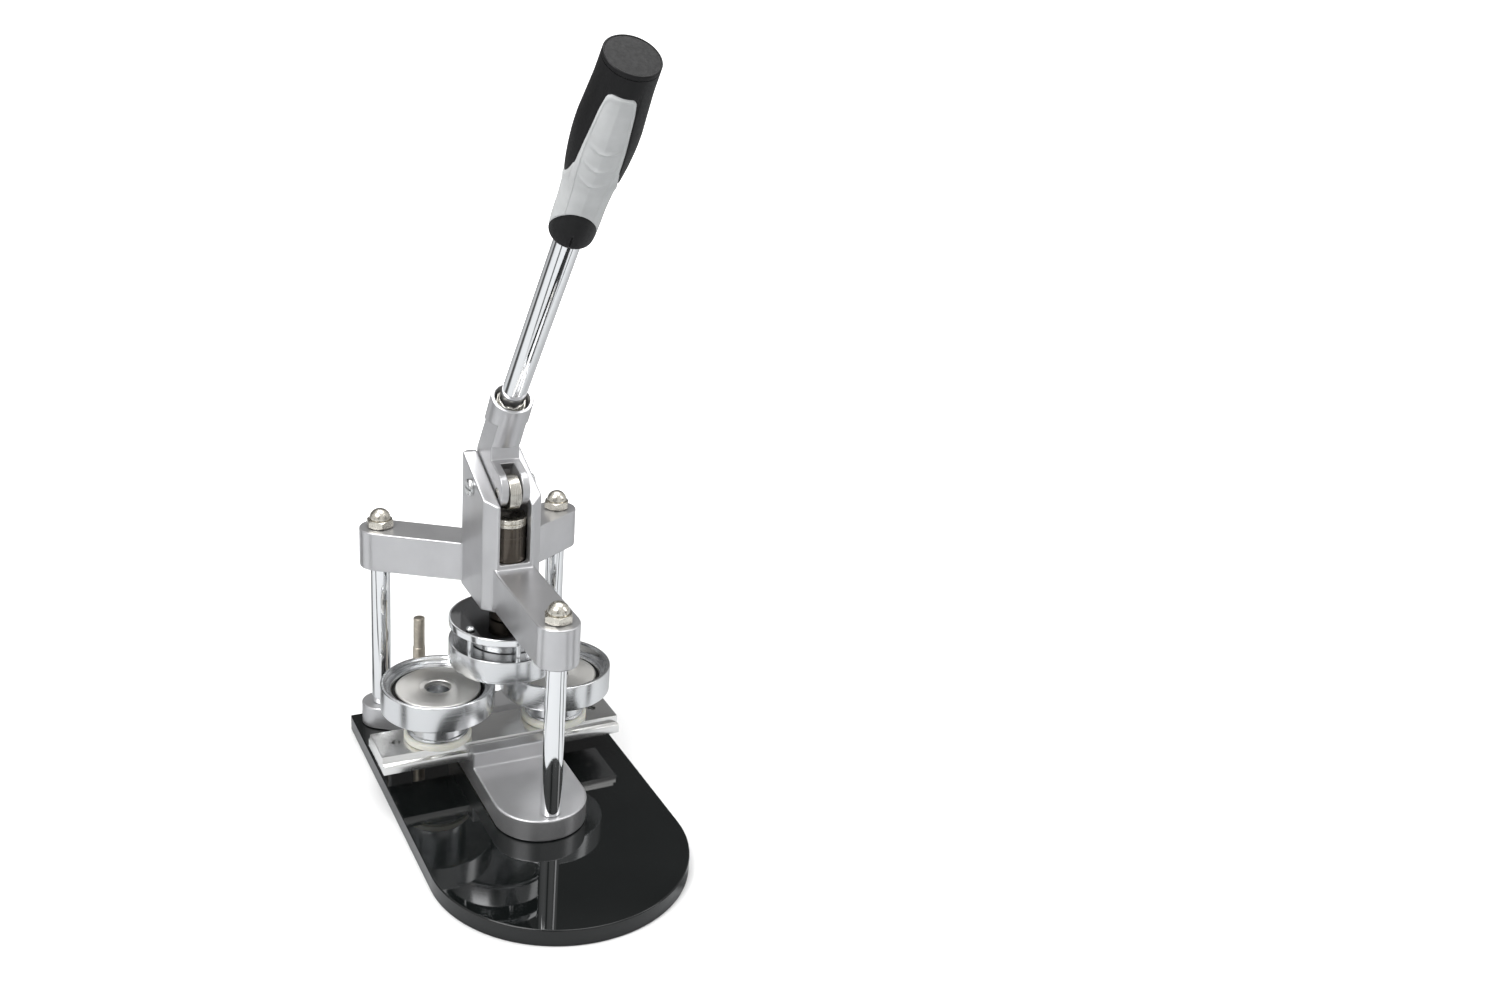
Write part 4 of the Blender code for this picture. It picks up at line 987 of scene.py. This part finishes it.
def grip():
    """Black collar, grey rubber with its tongue, black upper rubber and the top disc."""
    disc_low = GRIP_LENGTH - GRIP_DISC_T
    edges = (
        ("grip_collar", lambda a: 0.0, lambda a: collar_edge(a) - JOINT, 24, "grip_black"),
        ("grip_sleeve_grey", lambda a: collar_edge(a) + JOINT, lambda a: tongue_edge(a) - JOINT, 110,
         "grip_grey"),
        ("grip_sleeve_black", lambda a: tongue_edge(a) + JOINT, lambda a: disc_low, 70, "grip_black"),
    )
    for node, low_edge, high_edge, rows, mat in edges:
        obj = sleeve(node + "_piece", low_edge, high_edge, rows, mat)
        attach(obj, "lever", mat, node)
    low = GRIP_START + disc_low
    top = GRIP_START + GRIP_LENGTH
    disc = rounded([
        (0.0, low + 0.05), (15.6, low + 0.05), (GRIP_TOP_R, low + 0.4), (GRIP_TOP_R, top - 0.5, 0.4),
        (15.4, top, 0.2), (14.9, top, 0.2), (14.7, top - 0.3), (0.0, top - 0.1),
    ])
    obj = finish_mesh("grip_disc", lathe(disc, ROUND), "grip_black", lean(ROD_POINT, ROD_TILT))
    attach(obj, "lever", "grip_black", "grip_top_disc")

# ---- ram and upper die

def ram():
    """Dark ram and nickel cap with a groove."""
    n = Node("ram")
    c = Node("ram_cap")
    r = n.radius
    bar = rounded([(0.0, n.z0), (r, n.z0, 0.4), (r, n.z1, 0.4), (0.0, n.z1)])
    turned("ram_bar", bar, "ram_dark_steel", "ram", ["ram"], segments=96)
    cap = rounded([
        (0.0, c.z0), (r, c.z0, 0.3), (r, c.z0 + 2.2, 0.2), (r - 0.6, c.z0 + 2.6),
        (r, c.z0 + 3.0, 0.2), (r, c.z1, 0.7), (0.0, c.z1),
    ])
    turned("ram_cap_piece", cap, "nut_nickel", "ram", ["ram_cap"], segments=96)

def upper_die():
    """Flange, core and floating ring of the upper die."""
    f = Node("upper_flange")
    r = f.radius
    lip = f.z1 - 0.3
    flange = rounded([
        (0.0, f.z0), (r, f.z0, 0.5), (r, f.z1, 0.9), (r - 1.2, f.z1), (r - 1.5, lip), (0.0, lip),
    ])
    disc = turned("upper_flange_disc", flange, "die_chrome", "ram", ["upper_flange"], segments=FINE)
    holes = []
    for index in range(1, 5):
        bolt = Node("guide_bolt_%d" % index).mid
        spot = Matrix.Translation((bolt.x, bolt.y, 0.0))
        holes.append(rod(BOLT_HOLE_R, f.z0 - 1.0, f.z1 + 1.0, spot, 48))
    combine(disc, "DIFFERENCE", holes)
    disc.data.materials[0] = MATERIALS["flange_chrome"]
    disc.data.set_sharp_from_angle(angle=math.radians(30.0))
    c = Node("upper_core")
    core = rounded([
        (0.0, c.z0 + 1.5), (c.radius - 8.0, c.z0 + 1.5), (c.radius - 6.0, c.z0, 0.5), (c.radius, c.z0, 0.6),
        (c.radius, c.z0 + 3.9, 0.4), (CORE_NECK_R, c.z0 + 3.9), (CORE_NECK_R, c.z1 - 3.2),
        (CORE_LAND_R, c.z1 - 2.6, 0.3), (CORE_LAND_R, c.z1, 0.3), (0.0, c.z1),
    ])
    turned("upper_core_piece", core, "die_chrome", "ram", ["upper_core"], segments=FINE)
    u = Node("upper_ring")
    r = u.radius
    web = u.z1 - UPPER_WEB_T
    lip = u.z1 - 0.5
    ring = rounded([
        (UPPER_BORE_R, u.z0, 0.4), (r - 1.4, u.z0, 0.4), (r - 1.4, u.z0 + 1.3), (r, u.z0 + 2.0, 0.5),
        (r, u.z1, 0.9), (r - 3.0, u.z1), (r - 3.4, lip), (UPPER_WEB_BORE_R, lip, 0.3),
        (UPPER_WEB_BORE_R, web, 0.3), (UPPER_BORE_R, web, 0.6),
    ])
    turned("upper_ring_piece", ring, "die_chrome", "upper_ring", ["upper_ring"], segments=FINE)

def bolts():
    """Guide bolts with a small domed head."""
    for index in range(1, 5):
        node = "guide_bolt_%d" % index
        n = Node(node)
        seat = n.z1 - BOLT_HEAD_RISE
        profile = [(0.0, n.z0), (BOLT_R, n.z0), (BOLT_R, seat), (BOLT_HEAD_R, seat)]
        for a in quarter(6)[:-1]:
            profile.append((BOLT_HEAD_R * math.cos(a), seat + 0.6 + 1.6 * math.sin(a)))
        profile.append((0.0, n.z1))
        turned(node + "_piece", profile, "die_chrome", "upper_ring", [node], n.mid, 48)

# ---- plate and lower dies

def plate():
    """The stepped sliding plate with a hole near each end."""
    n = Node("slide_plate")
    half = n.high.y
    top = PLATE_TOP_HALF
    ledge = n.z0 + PLATE_LEDGE
    section = [
        (-half, n.z0), (half, n.z0), (half, ledge), (half - 2.4, ledge), (top, ledge), (top, n.z1),
        (-top, n.z1), (-top, ledge), (-half, ledge),
    ]
    obj = finish_mesh("plate_bar", prism(section, n.low.x, n.high.x, side_view()), "plate_aluminium")
    bevel(obj, 0.25, 3)
    holes = []
    for x in (n.low.x + PLATE_HOLE_INSET, n.high.x - PLATE_HOLE_INSET):
        spot = Matrix.Translation((x, 0.0, 0.0))
        holes.append(rod(PLATE_HOLE_R, n.z0 - 2.0, n.z1 + 2.0, spot, 48))
    combine(obj, "DIFFERENCE", holes)
    obj.data.set_sharp_from_angle(angle=math.radians(30.0))
    attach(obj, "die_plate", "plate_aluminium", "slide_plate")

def lower_die(side):
    """Nylon ring, necked base, turned face and sprung ring of one lower die, with a dark ring in its gap as
    painted shade.
    """
    ring = Node("die_ring_" + side)
    at = ring.mid
    nylon = Node("nylon_ring_" + side)
    profile = rounded([
        (WEB_BORE_R, nylon.z0), (nylon.radius, nylon.z0, 0.8), (nylon.radius, nylon.z0 + 3.4, 0.5),
        (nylon.radius - 1.6, nylon.z1, 0.8), (WEB_BORE_R, nylon.z1),
    ])
    turned("nylon_" + side, profile, "nylon_ivory", "die_plate", ["nylon_ring_" + side], at)
    base = Node("die_base_" + side)
    seat = base.z1
    collar = nylon.z1 + 0.4
    hollow = DIE_HOLE_R - 1.0
    neck = rounded([
        (0.0, base.z0), (NECK_R, base.z0), (NECK_R, collar), (NECK_COLLAR_R, collar, 0.3),
        (NECK_COLLAR_R, collar + 1.6, 0.5), (NECK_R, collar + 2.2), (NECK_R, seat - SEAT_T),
        (SEAT_R, seat - SEAT_T, 0.4), (SEAT_R, seat, 0.4),
        (hollow, seat), (hollow, seat - 12.0), (0.0, seat - 12.0),
    ])
    turned("die_neck_" + side, neck, "die_chrome", "die_plate", ["die_base_" + side], at)
    face = Node("die_face_" + side)
    top = face.z1
    disc = rounded([
        (DIE_HOLE_R, face.z0), (face.radius, face.z0, 0.2), (face.radius, top - 0.6, 0.3),
        (face.radius - 0.8, top, 0.3), (DIE_HOLE_R + 0.4, top, 0.15), (DIE_HOLE_R, top - 0.4, 0.15),
    ])
    turned("die_disc_" + side, disc, "die_face_steel", "die_plate", ["die_face_" + side], at, FINE)
    body = "die_ring_" + side
    r = ring.radius
    bore = SKIRT_BORE_R
    inner = SKIRT_STEP_R
    step = top - 1.4
    web = ring.z0 + 3.6
    skirt = rounded([
        (WEB_BORE_R, ring.z0), (r, ring.z0, 1.0), (r, ring.z1, 0.9), (bore + 1.0, ring.z1, 0.3),
        (bore, ring.z1 - 1.2, 0.3), (bore, step + 2.6, 0.3), (bore - 1.0, step + 1.6, 0.3),
        (inner + 0.8, step + 1.6, 0.3), (inner, step, 0.3), (inner, web, 0.5), (WEB_BORE_R, web),
    ])
    turned("die_skirt_" + side, skirt, "die_chrome", body, [body], at, FINE)
    # A dark ring inside the gap under the step: painted shade for the shadow in that gap.
    low = step - 3.0
    high = step - 1.0
    rim = SKIRT_STEP_R - 0.05
    shade_ring_outline = rounded([(SHADE_RING_R, low), (rim, low), (rim, high, 0.3), (SHADE_RING_R, high, 0.3)])
    strip = turned("die_shade_ring_" + side, shade_ring_outline, "ram_dark_steel", body, [], at, FINE)
    strip.data.materials[0] = MATERIALS["painted_gap_shade"]

# ---- stage

def floor():
    """A wide pale floor that glows more with distance for the camera and is darker, with dark sectors, for
    other rays: painted light, painted reflection and painted shade.
    """
    bm = bmesh.new()
    bmesh.ops.create_circle(bm, cap_ends=True, radius=9000.0, segments=96)
    bmesh.ops.transform(bm, matrix=Matrix.Translation((0.0, 0.0, -0.05)), verts=bm.verts[:])
    obj = finish_mesh("floor", bm, None)
    s = Shader("floor_pale", (0.92, 0.92, 0.92), 0.6, Specular_IOR_Level=0.2)
    seen = s.tree.nodes.new("ShaderNodeLightPath").outputs["Is Camera Ray"]
    split = s.tree.nodes.new("ShaderNodeSeparateXYZ")
    s.link(s.coords, split.inputs["Vector"])
    turn = s.math("MULTIPLY", s.math("ARCTAN2", split.outputs["Y"], split.outputs["X"]), 180.0 / math.pi)
    # Dark sectors for every ray but the camera's: painted reflection and painted shade.
    dark = None
    for heading, half, strength in PAINTED_FLOOR_GAPS:
        away = s.math("ABSOLUTE", s.math("SUBTRACT", turn, heading))
        gap = s.span(away, strength, 0.0, half * 0.6, half * 1.4)
        dark = gap if dark is None else s.math("MAXIMUM", dark, gap)
    distance = s.radius("Z")
    dark = s.math("MULTIPLY", dark, s.span(distance, 0.0, 1.0, 0.12, 0.2))
    around = s.tree.nodes.new("ShaderNodeMix")
    around.data_type = "RGBA"
    around.inputs["A"].default_value = (0.62, 0.63, 0.64, 1.0)
    around.inputs["B"].default_value = (0.05, 0.05, 0.05, 1.0)
    s.link(dark, around.inputs["Factor"])
    # Paler for camera rays than for reflections and bounce light: painted light.
    pale = s.tree.nodes.new("ShaderNodeMix")
    pale.data_type = "RGBA"
    s.link(around.outputs["Result"], pale.inputs["A"])
    pale.inputs["B"].default_value = (0.96, 0.96, 0.96, 1.0)
    s.link(seen, pale.inputs["Factor"])
    s.link(pale.outputs["Result"], s.main.inputs["Base Color"])
    # Camera rays also see a glow that grows with distance: painted light.
    s.main.inputs["Emission Color"].default_value = (1.0, 1.0, 1.0, 1.0)
    painted_glow = s.math("MULTIPLY", seen, s.span(distance, 0.0, 1.0, 0.25, 0.9))
    s.link(painted_glow, s.main.inputs["Emission Strength"])
    s.bump(s.noise(400.0, 2.0), 0.1)
    obj.data.materials.append(s.mat)

def softbox(name, at, target, width, height, power):
    """A soft rectangular light aimed at a point."""
    data = bpy.data.lights.new(name, "AREA")
    data.shape = "RECTANGLE"
    data.size = width
    data.size_y = height
    data.energy = power
    obj = bpy.data.objects.new(name, data)
    obj.location = at
    obj.rotation_euler = (Vector(target) - Vector(at)).to_track_quat("-Z", "Y").to_euler()
    bpy.context.scene.collection.objects.link(obj)

def lights():
    """Three soft lights round the press."""
    target = (0.0, 0.0, 0.15)
    softbox("key_light", (-1.1, -0.6, 1.6), target, 1.0, 0.9, 22.0)
    softbox("fill_light", (1.5, -0.9, 1.2), target, 0.6, 1.2, 7.0)
    softbox("top_light", (0.2, 0.3, 2.2), target, 1.6, 1.2, 22.0)

def world():
    """A grey room: light walls with dark gaps, a dark wall behind and a light ceiling."""
    room = bpy.data.worlds.new("studio_room")
    bpy.context.scene.world = room
    room.use_nodes = True
    tree = room.node_tree
    tree.nodes.clear()
    coords = tree.nodes.new("ShaderNodeTexCoord")
    split = tree.nodes.new("ShaderNodeSeparateXYZ")
    tree.links.new(coords.outputs["Generated"], split.inputs["Vector"])
    heading = tree.nodes.new("ShaderNodeMath")
    heading.operation = "ARCTAN2"
    tree.links.new(split.outputs["Y"], heading.inputs[0])
    tree.links.new(split.outputs["X"], heading.inputs[1])
    share = tree.nodes.new("ShaderNodeMapRange")
    share.inputs["From Min"].default_value = -math.pi
    share.inputs["From Max"].default_value = math.pi
    tree.links.new(heading.outputs[0], share.inputs["Value"])
    ramp = tree.nodes.new("ShaderNodeValToRGB")
    elements = ramp.color_ramp.elements
    while len(elements) < len(ROOM_WALLS):
        elements.new(0.5)
    for element, (turn, value) in zip(elements, ROOM_WALLS):
        element.position = (turn + 180.0) / 360.0
        element.color = (value, value, value, 1.0)
    tree.links.new(share.outputs["Result"], ramp.inputs["Fac"])
    height = tree.nodes.new("ShaderNodeMapRange")
    height.inputs["From Min"].default_value = 0.60
    height.inputs["From Max"].default_value = 0.80
    tree.links.new(split.outputs["Z"], height.inputs["Value"])
    mix = tree.nodes.new("ShaderNodeMix")
    mix.data_type = "RGBA"
    mix.inputs["B"].default_value = (ROOM_CEILING, ROOM_CEILING, ROOM_CEILING, 1.0)
    tree.links.new(height.outputs["Result"], mix.inputs["Factor"])
    tree.links.new(ramp.outputs["Color"], mix.inputs["A"])
    seen = tree.nodes.new("ShaderNodeLightPath")
    shown = tree.nodes.new("ShaderNodeMix")
    shown.data_type = "RGBA"
    shown.inputs["B"].default_value = (1.1, 1.1, 1.1, 1.0)
    tree.links.new(seen.outputs["Is Camera Ray"], shown.inputs["Factor"])
    tree.links.new(mix.outputs["Result"], shown.inputs["A"])
    light = tree.nodes.new("ShaderNodeBackground")
    tree.links.new(shown.outputs["Result"], light.inputs["Color"])
    out = tree.nodes.new("ShaderNodeOutputWorld")
    tree.links.new(light.outputs["Background"], out.inputs["Surface"])

def camera():
    """A camera in front, to the left and above, rolled a little."""
    azimuth = math.radians(CAMERA_AZIMUTH)
    elevation = math.radians(CAMERA_ELEVATION)
    roll = math.radians(CAMERA_ROLL)
    reach = math.cos(elevation)
    back = Vector((math.sin(azimuth) * reach, -math.cos(azimuth) * reach, math.sin(elevation)))
    flat = Vector((math.cos(azimuth), math.sin(azimuth), 0.0))
    up = back.cross(flat)
    right = flat * math.cos(roll) + up * math.sin(roll)
    top = up * math.cos(roll) - flat * math.sin(roll)
    data = bpy.data.cameras.new("camera")
    data.sensor_width = SENSOR
    data.lens = FOCAL
    data.clip_start = 0.01
    data.clip_end = 50.0
    obj = bpy.data.objects.new("camera", data)
    rotation = Matrix((right, top, back)).transposed().to_4x4()
    obj.matrix_world = Matrix.Translation(CAMERA_AT) @ rotation
    bpy.context.scene.collection.objects.link(obj)
    bpy.context.scene.camera = obj

def build():
    """Builds the stage and every piece."""
    camera()
    world()
    lights()
    floor()
    board()
    lower_casting()
    columns()
    cap_nuts()
    upper_casting()
    pivot_screws()
    post()
    hub()
    roller()
    lever_rod()
    grip()
    ram()
    upper_die()
    bolts()
    plate()
    for side in ("left", "right"):
        lower_die(side)
    bpy.context.scene.view_settings.view_transform = "Standard"

build()
